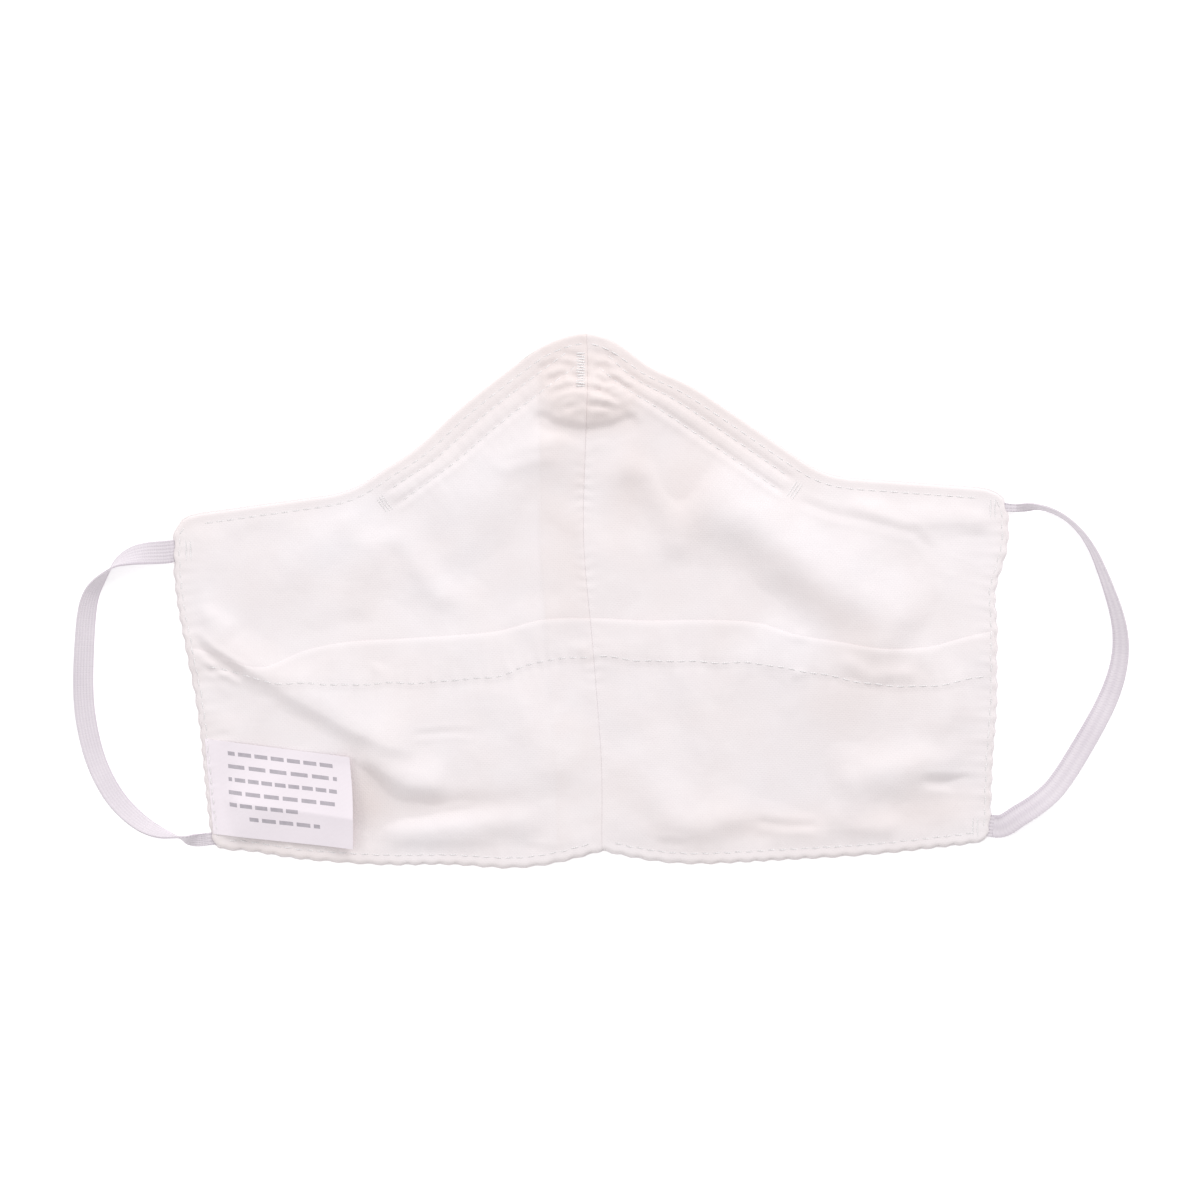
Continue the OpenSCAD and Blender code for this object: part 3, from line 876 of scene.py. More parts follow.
def blend_at_edge(obj, side, route):
    """Bakes the band's placement into its points; the line through the route's two ends and the direction out
    from it are worked out but not used.
    """
    top = np.array(route[0][:2])
    foot = np.array(route[-1][:2])
    along = unit(foot - top)
    out = np.array([along[1], -along[0]])
    if out[0] * side < 0:
        out = -out
    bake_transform(obj)


def make_loop(side, route):
    half = HALF_NAME[side]
    line, lengths = smooth_route(route)
    mids = line[:, :3]
    across, through = band_frames(mids, line[:, 3], -side)
    width = mix(GATHER[side][0], 1, ease((lengths - 2) / GATHER_RUN))
    width *= mix(GATHER[side][1], 1, ease((lengths[-1] - lengths - 2) / GATHER_RUN))
    rings = np.array([
        mids[k] + section[:, :1] * across[k] * width[k] + section[:, 1:] * through[k]
        for k in range(len(mids))
        for section in [band_section(k, PICOT)]
    ])
    loop = tube(f"{half}_ear_elastic", rings, lengths)
    smooth_faces(loop, 60)
    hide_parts(f"{half}_ear_loop")
    blend_at_edge(loop, side, route)
    return loop


def make_tails(side, route):
    """The band's two ends, sewn in between the shell and the lining."""
    half = HALF_NAME[side]
    parts = []
    line, _ = smooth_route(route)
    for end, order, gather in (("top", 1, GATHER[side][0]), ("foot", -1, GATHER[side][1])):
        p = line[::order][:3]
        start = p[0][:3]
        inward = np.append(unit((p[0] - p[2])[:2]), 0.0)
        lengths = np.linspace(0, TAIL_LEN, 25)
        mids = start + inward * lengths[:, None]
        flat = np.array([-inward[1], inward[0], 0.0])
        width = mix(gather, 1, ease(lengths / GATHER_RUN))
        rings = np.array([
            m + section[:, :1] * flat * width[k] + section[:, 1:] * np.array([0, 0, 1.0])
            for k, m in enumerate(mids)
            for section in [band_section(k, 0.0)]
        ])
        part = tube(f"{half}_elastic_{end}_end", rings, lengths)
        smooth_faces(part, 60)
        parts.append(part)
    for part in parts:
        blend_at_edge(part, side, route)
    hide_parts(f"{half}_elastic_ends")
    return parts


LOOPS = [make_loop(-1, LEFT_ROUTE), make_loop(1, RIGHT_ROUTE)]
TAILS = [*make_tails(-1, LEFT_ROUTE), *make_tails(1, RIGHT_ROUTE)]


# ---------------------------------------------------------------- simulation of the lining's slack

def settle_lining():
    """Lets a slightly roomy lining settle between its stitched rows, and keeps how high it comes to lie."""
    counts = np.rint(SIM_SIZE / SIM_PITCH).astype(int)
    sheet, column, row = new_grid("slack", int(counts[0]), int(counts[1]))
    xy = SIM_LOW + np.stack([column, row], axis=1) * SIM_PITCH
    order = np.arange(len(xy))
    inside = edge_distance(xy) > 0
    held = (edge_distance(xy) < HELD_AT_EDGE) | (np.abs(xy[:, 0]) < HELD_AT_SEAM)
    for name in ("casing_outer", "casing_inner", "hem"):
        held |= near_row(xy, name)[0] < HELD_AT_ROW
    begin = 0.6 * sum(ridge(xy, *f) for f in FOLDS) + 0.25 * rough(xy, 9, 21.0)
    begin = np.where(held, 0, np.maximum(begin, 0))
    set_points(sheet, np.stack([xy[:, 0], xy[:, 1], begin], axis=1))
    sheet.data.transform(Matrix.Scale(SIM_SCALE / MM, 4))
    pinned = sheet.vertex_groups.new(name="held")
    pinned.add([int(k) for k in order[held]], 1.0, "REPLACE")
    keys = sheet.data.attributes.new("at", "INT", "POINT")
    keys.data.foreach_set("value", order.astype(np.int32))
    make_active(sheet)
    sheet.data.polygons.foreach_set("select", np.zeros(len(sheet.data.polygons), bool))
    sheet.data.edges.foreach_set("select", np.zeros(len(sheet.data.edges), bool))
    sheet.data.vertices.foreach_set("select", ~inside)
    bpy.ops.object.mode_set(mode="EDIT")
    bpy.ops.mesh.delete(type="VERT")
    bpy.ops.object.mode_set(mode="OBJECT")
    cloth = sheet.modifiers.new("cloth", "CLOTH")
    cloth.settings.quality = 6
    cloth.settings.mass = 0.2
    cloth.settings.tension_stiffness = 12
    cloth.settings.compression_stiffness = 12
    cloth.settings.shear_stiffness = 6
    cloth.settings.bending_stiffness = 1.5
    cloth.settings.air_damping = 2.0
    cloth.settings.vertex_group_mass = "held"
    cloth.settings.shrink_min = -0.012
    cloth.settings.use_pressure = True
    cloth.settings.uniform_pressure_force = 0.35
    cloth.settings.effector_weights.gravity = 0
    cloth.collision_settings.use_collision = False
    cloth.point_cache.frame_start = 1
    cloth.point_cache.frame_end = SIM_FRAMES
    for step in range(1, SIM_FRAMES + 1):
        bpy.context.scene.frame_set(step)
    apply_modifier(sheet, cloth)
    bpy.context.scene.frame_set(1)
    co = points_of(sheet) / (SIM_SCALE / MM)
    at = np.zeros(len(co), np.int32)
    sheet.data.attributes["at"].data.foreach_get("value", at)
    heights = np.zeros(len(xy))
    heights[at] = np.clip(co[:, 2] - begin[at], -0.6, 2.2)
    raster = np.zeros((counts[0] + 1, counts[1] + 1))
    raster[column, row] = heights
    for _ in range(2):
        raster[1:-1] = raster[:-2] / 4 + raster[1:-1] / 2 + raster[2:] / 4
        raster[:, 1:-1] = raster[:, :-2] / 4 + raster[:, 1:-1] / 2 + raster[:, 2:] / 4
    FIELDS["slack"] = raster
    bpy.data.objects.remove(sheet, do_unlink=True)


settle_lining()
field("body", measured_top)


# ---------------------------------------------------------------- cloth panels

def at_shares(line, shares):
    return at_lengths(line, shares * run_lengths(line)[-1])


def between_edges(u, v, inset=0.0):
    """Points of the right half, from the shares u across it and v up it, between its four edges."""
    top = moved_in(TOP_EDGE, inset)
    side = moved_in(SIDE_EDGE, inset)[::-1]
    bottom = moved_in(BOTTOM_EDGE, inset)[::-1]
    on_bottom = at_shares(bottom, u)
    on_top = at_shares(top, u)
    on_side = at_shares(side, v)
    on_seam = np.stack([np.full(len(v), SEAM_X), mix(bottom[0][1], top[0][1], v)], axis=1)
    u = u[:, None]
    v = v[:, None]
    corners = (1 - v) * mix(bottom[0], bottom[-1], u) + v * mix(top[0], top[-1], u)
    return mix(on_bottom, on_top, v) + mix(on_seam, on_side, u) - corners


def spread(length, pitch, fine_start=True, fine_end=True):
    """Fractions of a length: close together by the finished edges and evenly spaced between."""
    close = np.array([0.0, 0.12, 0.32, 0.6, 1.0, 1.5])
    start = close if fine_start else np.array([0.0])
    end = length - close[::-1] if fine_end else np.array([length])
    count = max(2, int(round((end[0] - start[-1]) / pitch)))
    middle = np.linspace(start[-1], end[0], count + 1)[1:-1]
    return np.concatenate([start, middle, end]) / length


def row_limits(columns, y_of_x, inset, side):
    """How far up each column a line that depends on x is met."""
    steps = np.linspace(0, 1, 160)
    limits = []
    for u in columns:
        p = between_edges(np.full(len(steps), u), steps, inset)
        above = p[:, 1] - y_of_x(p[:, 0] * side)
        limits.append(np.interp(0, above, steps))
    return np.array(limits)


# About how wide and how high a panel is, whole or cut at the pocket mouth, to space its points
PANEL_W = 105
PANEL_H = 130
CUT_PANEL_H = 75


def panel(name, side, surface, pitch, low=None, high=None, inset=0.0, fine=(True, True)):
    """One cloth panel of a half: a grid between the edges, or cut at a line across it."""
    columns = spread(PANEL_W, pitch)
    rows = spread(CUT_PANEL_H if low or high else PANEL_H, pitch, *fine)
    obj, column, row = new_grid(name, len(columns) - 1, len(rows) - 1)
    bottom = row_limits(columns, low, inset, side) if low else np.zeros(len(columns))
    top = row_limits(columns, high, inset, side) if high else np.ones(len(columns))
    u = columns[column]
    v = mix(bottom[column], top[column], rows[row])
    xy = between_edges(u, v, inset)
    xy[:, 0] *= side
    set_points(obj, np.column_stack([strayed(xy), surface(xy)]))
    set_uv(obj, xy)
    face_up(obj)
    return obj, xy


def finish_sheet(obj, thickness, node):
    thicken(obj, thickness)
    smooth_faces(obj, 60)
    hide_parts(node)
    blend_at_fold(obj)
    return obj


def blend_at_fold(obj):
    """Bakes the piece's placement into its points."""
    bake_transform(obj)


SHELL_PITCH = 1.3
LINING_PITCH = 0.62
FELT_PITCH = 2.0
FELT_INSET = 4.0


def make_shell(half, side):
    obj, _ = panel(f"{half}_outer_shell", side, shell_top, SHELL_PITCH)
    return finish_sheet(obj, SHELL_T, f"{half}_shell")


def upper_foot(x):
    """Where the upper lining ends, hidden under the lower one."""
    return mouth_at(x) - HIDDEN_LAP


def make_upper_lining(half, side):
    obj, xy = panel(
        f"{half}_upper_lining_cloth", side, upper_top, LINING_PITCH, low=upper_foot, fine=(False, True),
    )
    mark_layers_and_shade(obj, xy)
    return finish_sheet(
        obj, LINING_T,
        f"{half}_upper_lining",
    )


def make_lower_lining(half, side):
    obj, xy = panel(f"{half}_lower_lining_cloth", side, lower_top, LINING_PITCH, high=mouth_at)
    mark_layers_and_shade(obj, xy)
    return finish_sheet(
        obj, LINING_T,
        f"{half}_lower_lining",
    )


# Painted shade on the lining, where its folds and hollows fall in shadow: middle, size, lean, amount
PAINTED_SHADES = [
    ((-61, -49), (6, 9), 10, 0.75),
    ((-42, -52), (20, 4), 3, 0.4),
    ((26, 31), (9, 13), -20, 0.5),
    ((12, 32), (5, 16), -8, 0.45),
    ((62, -5), (19, 6), -42, 0.5),
    ((72, -28), (22, 11), 8, 0.4),
    ((84, -58), (20, 6), 6, 0.55),
    ((44, -60), (14, 4), 0, 0.4),
    ((0, 60), (20, 11), 0, 0.6),
    ((30, 50), (32, 8), -36, 0.55),
    ((-30, 50), (30, 7), 36, 0.35),
    ((-88, 8), (14, 8), -20, 0.3),
    ((-94, -12), (11, 7), -30, 0.35),
    ((-84, -66), (20, 5), 0, 0.45),
]


def mark_layers_and_shade(obj, xy):
    """Where more cloth lies under the lining it looks a little warmer and denser; the middle is a little
    warmer too, and painted shade is added at the listed spots.
    """
    patchy = 0.75 + 0.35 * rough(xy, 9, 21.0, 2)
    allowance = ease((ALLOWANCE_EDGE + 0.2 + xy[:, 0]) / 1.4) * (xy[:, 0] < 0) * np.clip(patchy, 0, 1)
    lap = 0.4 * ease((mouth_at(xy[:, 0]) - xy[:, 1]) / 1.0)
    knot = 0.85 * np.exp(-((xy[:, 0] - 1) / 13) ** 4 - ((xy[:, 1] - 54) / 11) ** 4)
    edge = 0.35 * np.exp(-edge_distance(xy) / 2.0)
    centre = 0.2 * np.exp(-((xy[:, 0] - 12) / 42) ** 2)
    # painted shade: the lining is darkened towards its warm colour at these spots, standing for shadow in its
    # folds and hollows
    painted_shade = sum(mound(xy, *shade) for shade in PAINTED_SHADES)
    deep = np.maximum(np.maximum(allowance * 0.62 - lap * 0.6, knot), np.maximum(lap * 0.2, edge))
    # the mask carries both the layers below and the painted shade
    set_mask(obj, "under", np.clip(np.maximum(deep, centre) + painted_shade, 0, 1))


# Where the felt begins on each half: beyond the allowance on the left, close to the seam on the right
FELT_START = {-1: 12.3, 1: 0.6}
FELT_EVENS_OUT = 18.0


def make_interlining(half, side):
    felt = level(CORE_LOW + INTERLINING_T)
    obj, xy = panel(f"{half}_interlining_felt", side, felt, FELT_PITCH, inset=FELT_INSET)
    across = np.abs(xy[:, 0])
    xy[:, 0] = side * (across + FELT_START[side] * np.exp(-across / FELT_EVENS_OUT))
    set_points(obj, np.column_stack([strayed(xy), felt(xy)]))
    return finish_sheet(
        obj, INTERLINING_T,
        f"{half}_interlining",
    )


SHELLS = []
LININGS = []
FELTS = []
for half_side, half_name in HALF_NAME.items():
    SHELLS.append(make_shell(half_name, half_side))
    LININGS += [make_upper_lining(half_name, half_side), make_lower_lining(half_name, half_side)]
    FELTS.append(make_interlining(half_name, half_side))


# ---------------------------------------------------------------- stitches

def stitch_shape():
    """One stitch lying along X from 0 to 1 with radius 1: a thread that dips in at both ends."""
    deselect()
    bpy.ops.mesh.primitive_cylinder_add(
        vertices=6, radius=1, depth=1, location=(0.5, 0, 0), rotation=(0, math.pi / 2, 0),
    )
    obj = bpy.context.active_object
    bpy.ops.object.transform_apply(location=True, rotation=True, scale=True)
    bpy.ops.object.mode_set(mode="EDIT")
    for cut in (0.12, 0.35, 0.65, 0.88):
        bpy.ops.mesh.select_all(action="SELECT")
        bpy.ops.mesh.bisect(plane_co=(cut, 0, 0), plane_no=(1, 0, 0))
    bpy.ops.object.mode_set(mode="OBJECT")
    co = np.array([v.co for v in obj.data.vertices])
    faces = [tuple(p.vertices) for p in obj.data.polygons]
    bpy.data.objects.remove(obj, do_unlink=True)
    thin = 0.45 + 0.55 * np.sqrt(np.clip(1 - (2 * co[:, 0] - 1) ** 4, 0, 1))
    co[:, 1:] *= thin[:, None]
    return co, faces


LABEL_W = 36.5
LABEL_H = 25.5
LABEL_T = 0.22
# Where its corners lie: outer top, inner top, outer bottom, inner bottom
LABEL_CORNERS = np.array([(-103.0, -32.7), (-65.1, -38.8), (-101.6, -57.8), (-65.0, -62.9)])
LABEL_LOFT = 0.25
LABEL_CURL = 0.5

# The margin that the side row is sewn through: inner end, top and foot
LABEL_MARGIN = (-97.0, -33.2, -60.2)


def label_spot(s, t):
    """Points of the label from its outer top corner: s across it and t down it."""
    across = (s / LABEL_W)[:, None]
    down = (t / LABEL_H)[:, None]
    top = mix(LABEL_CORNERS[0], LABEL_CORNERS[1], across)
    bottom = mix(LABEL_CORNERS[2], LABEL_CORNERS[3], across)
    curl = LABEL_CURL * np.sin(down * math.pi) * across
    return mix(top, bottom, down) + curl * np.array([1.0, 0.0])


def over_label(xy):
    """The cloth's upper surface, with the label's margin on it."""
    inner, top, foot = LABEL_MARGIN
    margin = (xy[:, 0] < inner) & (xy[:, 1] < top) & (xy[:, 1] > foot)
    return cloth_top(xy) + LABEL_LOFT * margin


STITCH_CO, STITCH_FACES = stitch_shape()


def join_stitches(name, stitches, radius, surface, dip=0.1):
    """Copies of the stitch laid between pairs of points, each following the cloth below it."""
    ends = np.array(stitches, float)
    a = ends[:, :1]
    b = ends[:, 1:]
    along = unit(b - a)
    across = np.stack([-along[..., 1], along[..., 0]], axis=-1)
    lay = a + (b - a) * STITCH_CO[:, :1]
    spot = lay + across * STITCH_CO[:, 1:2] * radius
    sink = dip * np.abs(2 * STITCH_CO[:, 0] - 1) ** 3
    under = surface(lay.reshape(-1, 2)).reshape(lay.shape[:2])
    z = under + radius * (0.4 + 0.6 * STITCH_CO[:, 2]) - sink
    points = np.column_stack([strayed(spot.reshape(-1, 2)), z.ravel()])
    faces = [tuple(len(STITCH_CO) * k + i for i in f) for k in range(len(ends)) for f in STITCH_FACES]
    around = np.arctan2(STITCH_CO[:, 2], STITCH_CO[:, 1]) * radius
    length = np.linalg.norm(b - a, axis=2)
    run = STITCH_CO[:, 0] * length + np.arange(len(ends))[:, None]
    uv = np.stack([run, np.broadcast_to(around, run.shape)], axis=2).reshape(-1, 2)
    mesh = bpy.data.meshes.new(name)
    mesh.from_pydata((points * MM).tolist(), [], faces)
    obj = bpy.data.objects.new(name, mesh)
    bpy.context.scene.collection.objects.link(obj)
    mesh.uv_layers.new(name="flat")
    set_uv(obj, uv)
    smooth_faces(obj, 70)
    return obj


def along_row(line, side, start=0.0, stop=0.0, pitch=STITCH_PITCH, length=STITCH_LEN):
    """Pairs of points for the stitches of a row."""
    run = run_lengths(line)[-1]
    starts = np.arange(start, run - stop - length, pitch)
    a = at_lengths(line, starts)
    b = at_lengths(line, starts + length)
    flip = np.array([side, 1])
    return [(p * flip, q * flip) for p, q in zip(a, b)]


def thread_piece(obj, *nodes):
    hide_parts(*nodes)
    blend_at_fold(obj)
    return obj


TACK_HALF = 2.6
WIRE_TACK_START = 1.0
WIRE_TACK_PITCH = 0.8
BAND_TACK_IN = 4.4
BAND_TACK_PITCH = 1.2
BAND_TACK_LEAN = 0.2


def end_tacks(side, route):
    """Tacks over the wire's outer end and over each end of the elastic."""
    tacks = []
    for k in range(3):
        p = WIRE_LINE[1] + SLOPE * (WIRE_TACK_START + WIRE_TACK_PITCH * k)
        tacks.append((p + SLOPE_IN * TACK_HALF, p - SLOPE_IN * TACK_HALF))
    for end in (route[0], route[-1]):
        for k in range(2):
            x = abs(end[0]) - BAND_TACK_IN - BAND_TACK_PITCH * k
            tacks.append(((x, end[1] - TACK_HALF), (x + BAND_TACK_LEAN, end[1] + TACK_HALF)))
    return np.array(tacks) * [side, 1]


def make_stitching(half, side, route):
    made = []
    rows = {
        "top": along_row(ROWS["top"], side, 1.4, 2.0),
        "side": along_row(ROWS["side"], side, 1.2, 2.0),
        "bottom": along_row(ROWS["bottom"], side, 2.0, 1.0),
        "pocket": along_row(hem_row(side), side),
    }
    for name, stitches in rows.items():
        obj = join_stitches(f"{half}_{name}_stitches", stitches, THREAD_R, over_label)
        made.append(thread_piece(obj, f"{half}_{name}_stitching"))
    casing = [
        s for name in ("casing_outer", "casing_inner")
        for s in along_row(ROWS[name], side, 0.5, 0.2, CASING_PITCH, CASING_STITCH)
    ]
    obj = join_stitches(f"{half}_casing_stitches", casing, THREAD_R, cloth_top)
    made.append(thread_piece(obj, f"{half}_casing_stitching"))
    obj = join_stitches(f"{half}_tack_threads", end_tacks(side, route), THREAD_R, cloth_top)
    made.append(thread_piece(obj, f"{half}_tacks"))
    return made


THREADS = make_stitching("left", -1, LEFT_ROUTE) + make_stitching("right", 1, RIGHT_ROUTE)


BAR_COUNT = 13
BAR_LEAN = 0.2
SEAM_THREAD_Z = 0.8


def make_bar_tack():
    """Close stitches across the top of the centre seam."""
    low, high = (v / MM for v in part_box("peak_bar_tack"))
    bars = [
        ((low.x, y + BAR_LEAN * (k % 2)), (high.x, y - BAR_LEAN * (k % 2)))
        for k, y in enumerate(np.linspace(low.y, high.y, BAR_COUNT))
    ]
    obj = join_stitches("peak_tack_threads", bars, BAR_THREAD_R, cloth_top, dip=0.2)
    return thread_piece(obj, "peak_bar_tack")


def make_seam_thread():
    """The centre seam's own stitches, down between the fold and the allowance."""
    low, high = (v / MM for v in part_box("centre_seam_thread"))
    starts = np.arange(low.y, high.y - STITCH_LEN, STITCH_PITCH)
    x = (low.x + high.x) / 2
    pairs = [((x, y), (x, y + STITCH_LEN)) for y in starts]
    obj = join_stitches("seam_threads", pairs, SEAM_THREAD_R, level(SEAM_THREAD_Z), dip=0.05)
    return thread_piece(obj, "centre_seam_thread")


THREADS += [make_bar_tack(), make_seam_thread()]


# ---------------------------------------------------------------- seam allowance, wires and label

ALLOWANCE_T = 0.7
ALLOWANCE_LIFT = 0.05
WIRE_W = 3.0
WIRE_T = 0.5
WIRE_EDGE = 0.12
STRIP_PITCH = 1.0
STRIP_ROWS = 8


def strip(name, line_from, line_to, width, surface):
    """A flat strip between two points, with its UVs along and across it."""
    a = np.asarray(line_from, float)
    b = np.asarray(line_to, float)
    long = np.linalg.norm(b - a)
    columns = int(long / STRIP_PITCH)
    obj, column, row = new_grid(name, columns, STRIP_ROWS)
    along = unit(b - a)
    across = np.array([-along[1], along[0]])
    s = column / columns * long
    t = (row / STRIP_ROWS - 0.5) * width
    xy = a + s[:, None] * along + t[:, None] * across
    set_points(obj, np.column_stack([strayed(xy), surface(xy)]))
    set_uv(obj, np.column_stack([s, t]))
    face_up(obj)
    return obj


def make_allowance():
    low, high = (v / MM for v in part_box("seam_allowance"))
    middle = (low.x + high.x) / 2
    upper = level(CORE_LOW + ALLOWANCE_LIFT + ALLOWANCE_T)
    obj = strip("seam_allowance_cloth", (middle, low.y), (middle, high.y), high.x - low.x, upper)
    thicken(obj, ALLOWANCE_T)
    smooth_faces(obj, 50)
    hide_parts("seam_allowance")
    blend_at_fold(obj)
    return obj


def make_wire(half, side):
    flip = np.array([side, 1])
    upper = level(CORE_LOW + WIRE_T)
    obj = strip(f"{half}_nose_strip", WIRE_LINE[0] * flip, WIRE_LINE[1] * flip, WIRE_W, upper)
    thicken(obj, WIRE_T)
    bevel = obj.modifiers.new("edge", "BEVEL")
    bevel.width = WIRE_EDGE * MM
    bevel.segments = 2
    apply_modifier(obj, bevel)
    smooth_faces(obj, 40)
    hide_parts(f"{half}_nose_wire")
    blend_at_fold(obj)
    return obj


# The label's old fold, as a distance down it, its lean, its height and how far it falls away below
LABEL_FOLD = 16.0
LABEL_FOLD_LEAN = 0.03
LABEL_FOLD_RISE = 2.1
LABEL_FOLD_FALL = 10.5
LABEL_SEWN = 2.5
LABEL_COLUMNS = 90
LABEL_ROWS = 64


def label_lift(s, t):
    """The label lies softly: an old fold across it, and loose edges that lift a little."""
    line = LABEL_FOLD + LABEL_FOLD_LEAN * s
    above = np.clip(t / line, 0, 1) ** 1.6
    below = np.clip(1 - (t - line) / LABEL_FOLD_FALL, 0, 1)
    loose = 0.7 * ease((s - 26) / 10) ** 2 + 0.15 * ease((3 - t) / 3)
    wave = 0.15 * np.sin(s / 6.0 + 1) * ease((s - 4) / 8)
    return LABEL_FOLD_RISE * np.where(t < line, above, below) + loose + wave


def make_label():
    obj, column, row = new_grid("inside_label", LABEL_COLUMNS, LABEL_ROWS)
    s = column / LABEL_COLUMNS * LABEL_W
    t = (1 - row / LABEL_ROWS) * LABEL_H
    xy = label_spot(s, t)
    z = smoothed_top(xy) + LABEL_LOFT + (LABEL_LOFT + label_lift(s, t)) * ease((s - LABEL_SEWN) / 6)
    set_points(obj, np.column_stack([xy, z]))
    set_uv(obj, np.column_stack([s, LABEL_H - t]))
    face_up(obj)
    thicken(obj, LABEL_T)
    smooth_faces(obj, 50)
    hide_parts("side_label")
    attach(obj, "left_half")
    return obj


BRIDGE = 1.8


def smoothed_top(xy):
    """The cloth below the label, bridged over its small dips."""
    steps = (-BRIDGE, 0, BRIDGE)
    around = [cloth_top(xy + np.array([dx, dy])) for dx in steps for dy in steps]
    return np.maximum(np.mean(around, axis=0), cloth_top(xy) - 0.05)


ALLOWANCE = make_allowance()
WIRES = [make_wire("left", -1), make_wire("right", 1)]
LABEL = make_label()


# ---------------------------------------------------------------- shader groups

def new_group(name, inputs, outputs):
    """An empty node group with named sockets: (name, type, default)."""
    group = bpy.data.node_groups.new(name, "ShaderNodeTree")
    for label, kind, default in inputs:
        socket = group.interface.new_socket(name=label, in_out="INPUT", socket_type=kind)
        if default is not None:
            socket.default_value = default
    for label, kind in outputs:
        group.interface.new_socket(name=label, in_out="OUTPUT", socket_type=kind)
    start = group.nodes.new("NodeGroupInput")
    end = group.nodes.new("NodeGroupOutput")
    return group, start, end


def math_node(tree, operation, a, b=None, c=None):
    node = tree.nodes.new("ShaderNodeMath")
    node.operation = operation
    for k, value in enumerate((a, b, c)):
        if value is None:
            continue
        if hasattr(value, "is_linked"):
            tree.links.new(value, node.inputs[k])
        else:
            node.inputs[k].default_value = value
    return node.outputs[0]


def times(tree, a, b):
    return math_node(tree, "MULTIPLY", a, b)


def plus(tree, a, b):
    return math_node(tree, "ADD", a, b)


def scaled(tree, value, factor, offset):
    return math_node(tree, "MULTIPLY_ADD", value, factor, offset)


def waves(tree, along, length):
    """Waves along a coordinate, with their length in millimetres."""
    return math_node(tree, "SINE", times(tree, along, 2 * math.pi / (length * MM)))


def set_inputs(node, values):
    """Sets constants on a node's own sockets."""
    for name, value in values.items():
        node.inputs[name].default_value = value


def noise_node(tree, vector, scale, detail=3, roughness=0.55):
    node = tree.nodes.new("ShaderNodeTexNoise")
    set_inputs(node, {"Scale": scale, "Detail": detail, "Roughness": roughness})
    tree.links.new(vector, node.inputs["Vector"])
    return node.outputs["Fac"]


def mix_colour(tree, factor, a, b):
    node = tree.nodes.new("ShaderNodeMix")
    node.data_type = "RGBA"
    for socket, value in ((node.inputs["Factor"], factor), (node.inputs["A"], a), (node.inputs["B"], b)):
        if hasattr(value, "is_linked"):
            tree.links.new(value, socket)
        else:
            socket.default_value = value
    return node.outputs["Result"]


def split(tree, vector):
    node = tree.nodes.new("ShaderNodeSeparateXYZ")
    tree.links.new(vector, node.inputs[0])
    return node.outputs


def weave_group():
    """Plain weave: threads that pass over and under each other, with uneven yarn."""
    group, start, end = new_group(
        "plain weave",
        [("Flat", "NodeSocketVector", None), ("Threads", "NodeSocketFloat", 2000.0),
         ("Slub", "NodeSocketFloat", 0.4)],
        [("Height", "NodeSocketFloat"), ("Yarn", "NodeSocketFloat")],
    )
    slub = noise_node(group, start.outputs["Flat"], 260, 4, 0.6)
    bent = group.nodes.new("ShaderNodeVectorMath")
    bent.operation = "SCALE"
    group.links.new(start.outputs["Flat"], bent.inputs[0])
    group.links.new(start.outputs["Threads"], bent.inputs["Scale"])
    axes = split(group, bent.outputs[0])
    wobble = times(group, math_node(group, "SUBTRACT", slub, 0.5), 1.6)
    u = times(group, plus(group, axes[0], wobble), math.pi)
    v = times(group, plus(group, axes[1], wobble), math.pi)
    cross = times(group, math_node(group, "SINE", u), math_node(group, "SINE", v))
    yarns = plus(group, math_node(group, "ABSOLUTE", math_node(group, "SINE", u)),
                      math_node(group, "ABSOLUTE", math_node(group, "SINE", v)))
    weave = scaled(group, cross, 0.35, times(group, yarns, 0.5))
    uneven = times(group, slub, start.outputs["Slub"])
    group.links.new(plus(group, weave, uneven), end.inputs["Height"])
    group.links.new(slub, end.inputs["Yarn"])
    return group


def tone_group():
    """Cloth colour: soft mottling, warmer where more layers lie below, darker and warmer where painted shade
    is given through the same input, and paler where the yarn is thick.
    """
    group, start, end = new_group(
        "cloth tone",
        [("Place", "NodeSocketVector", None), ("Cloth", "NodeSocketColor", (0.86, 0.83, 0.83, 1)),
         ("Warm", "NodeSocketColor", (0.8, 0.73, 0.69, 1)),
         ("Cool", "NodeSocketColor", (0.84, 0.82, 0.85, 1)),
         ("Layers And Shade", "NodeSocketFloat", 0.0), ("Yarn", "NodeSocketFloat", 0.5)],
        [("Colour", "NodeSocketColor"), ("Roughness", "NodeSocketFloat")],
    )
    place, cloth, warm, cool, under, yarn = (start.outputs[k] for k in range(6))
    broad = scaled(group, noise_node(group, place, 26, 2), 3.2, -1.1)
    broad = math_node(group, "MINIMUM", math_node(group, "MAXIMUM", broad, 0.0), 1.0)
    fine = noise_node(group, place, 120, 3)
    mottled = mix_colour(group, times(group, broad, 0.7), cloth, cool)
    blush = scaled(group, noise_node(group, place, 41, 2), 1.8, -0.6)
    blush = times(group, math_node(group, "MAXIMUM", blush, 0.0), 0.5)
    blushed = mix_colour(group, blush, mottled, warm)
    # the input mixes towards the warm colour both for the layers below and for painted shade
    layered_and_shaded = mix_colour(group, under, blushed, warm)
    pale = times(group, math_node(group, "SUBTRACT", yarn, 0.42), 0.35)
    last = mix_colour(group, times(group, fine, pale), layered_and_shaded, (1, 1, 1, 1))
    group.links.new(last, end.inputs["Colour"])
    group.links.new(scaled(group, fine, 0.12, 0.78), end.inputs["Roughness"])
    return group


WEAVE = weave_group()
TONE = tone_group()


def new_material(name):
    material = bpy.data.materials.new(name)
    material.use_nodes = True
    tree = material.node_tree
    shader = next(n for n in tree.nodes if n.type == "BSDF_PRINCIPLED")
    return material, tree, shader


def uv_node(tree):
    node = tree.nodes.new("ShaderNodeUVMap")
    node.uv_map = "flat"
    return node.outputs[0]


def colour_and_roughness(tree, shader, colour, roughness):
    tree.links.new(colour, shader.inputs["Base Color"])
    tree.links.new(roughness, shader.inputs["Roughness"])


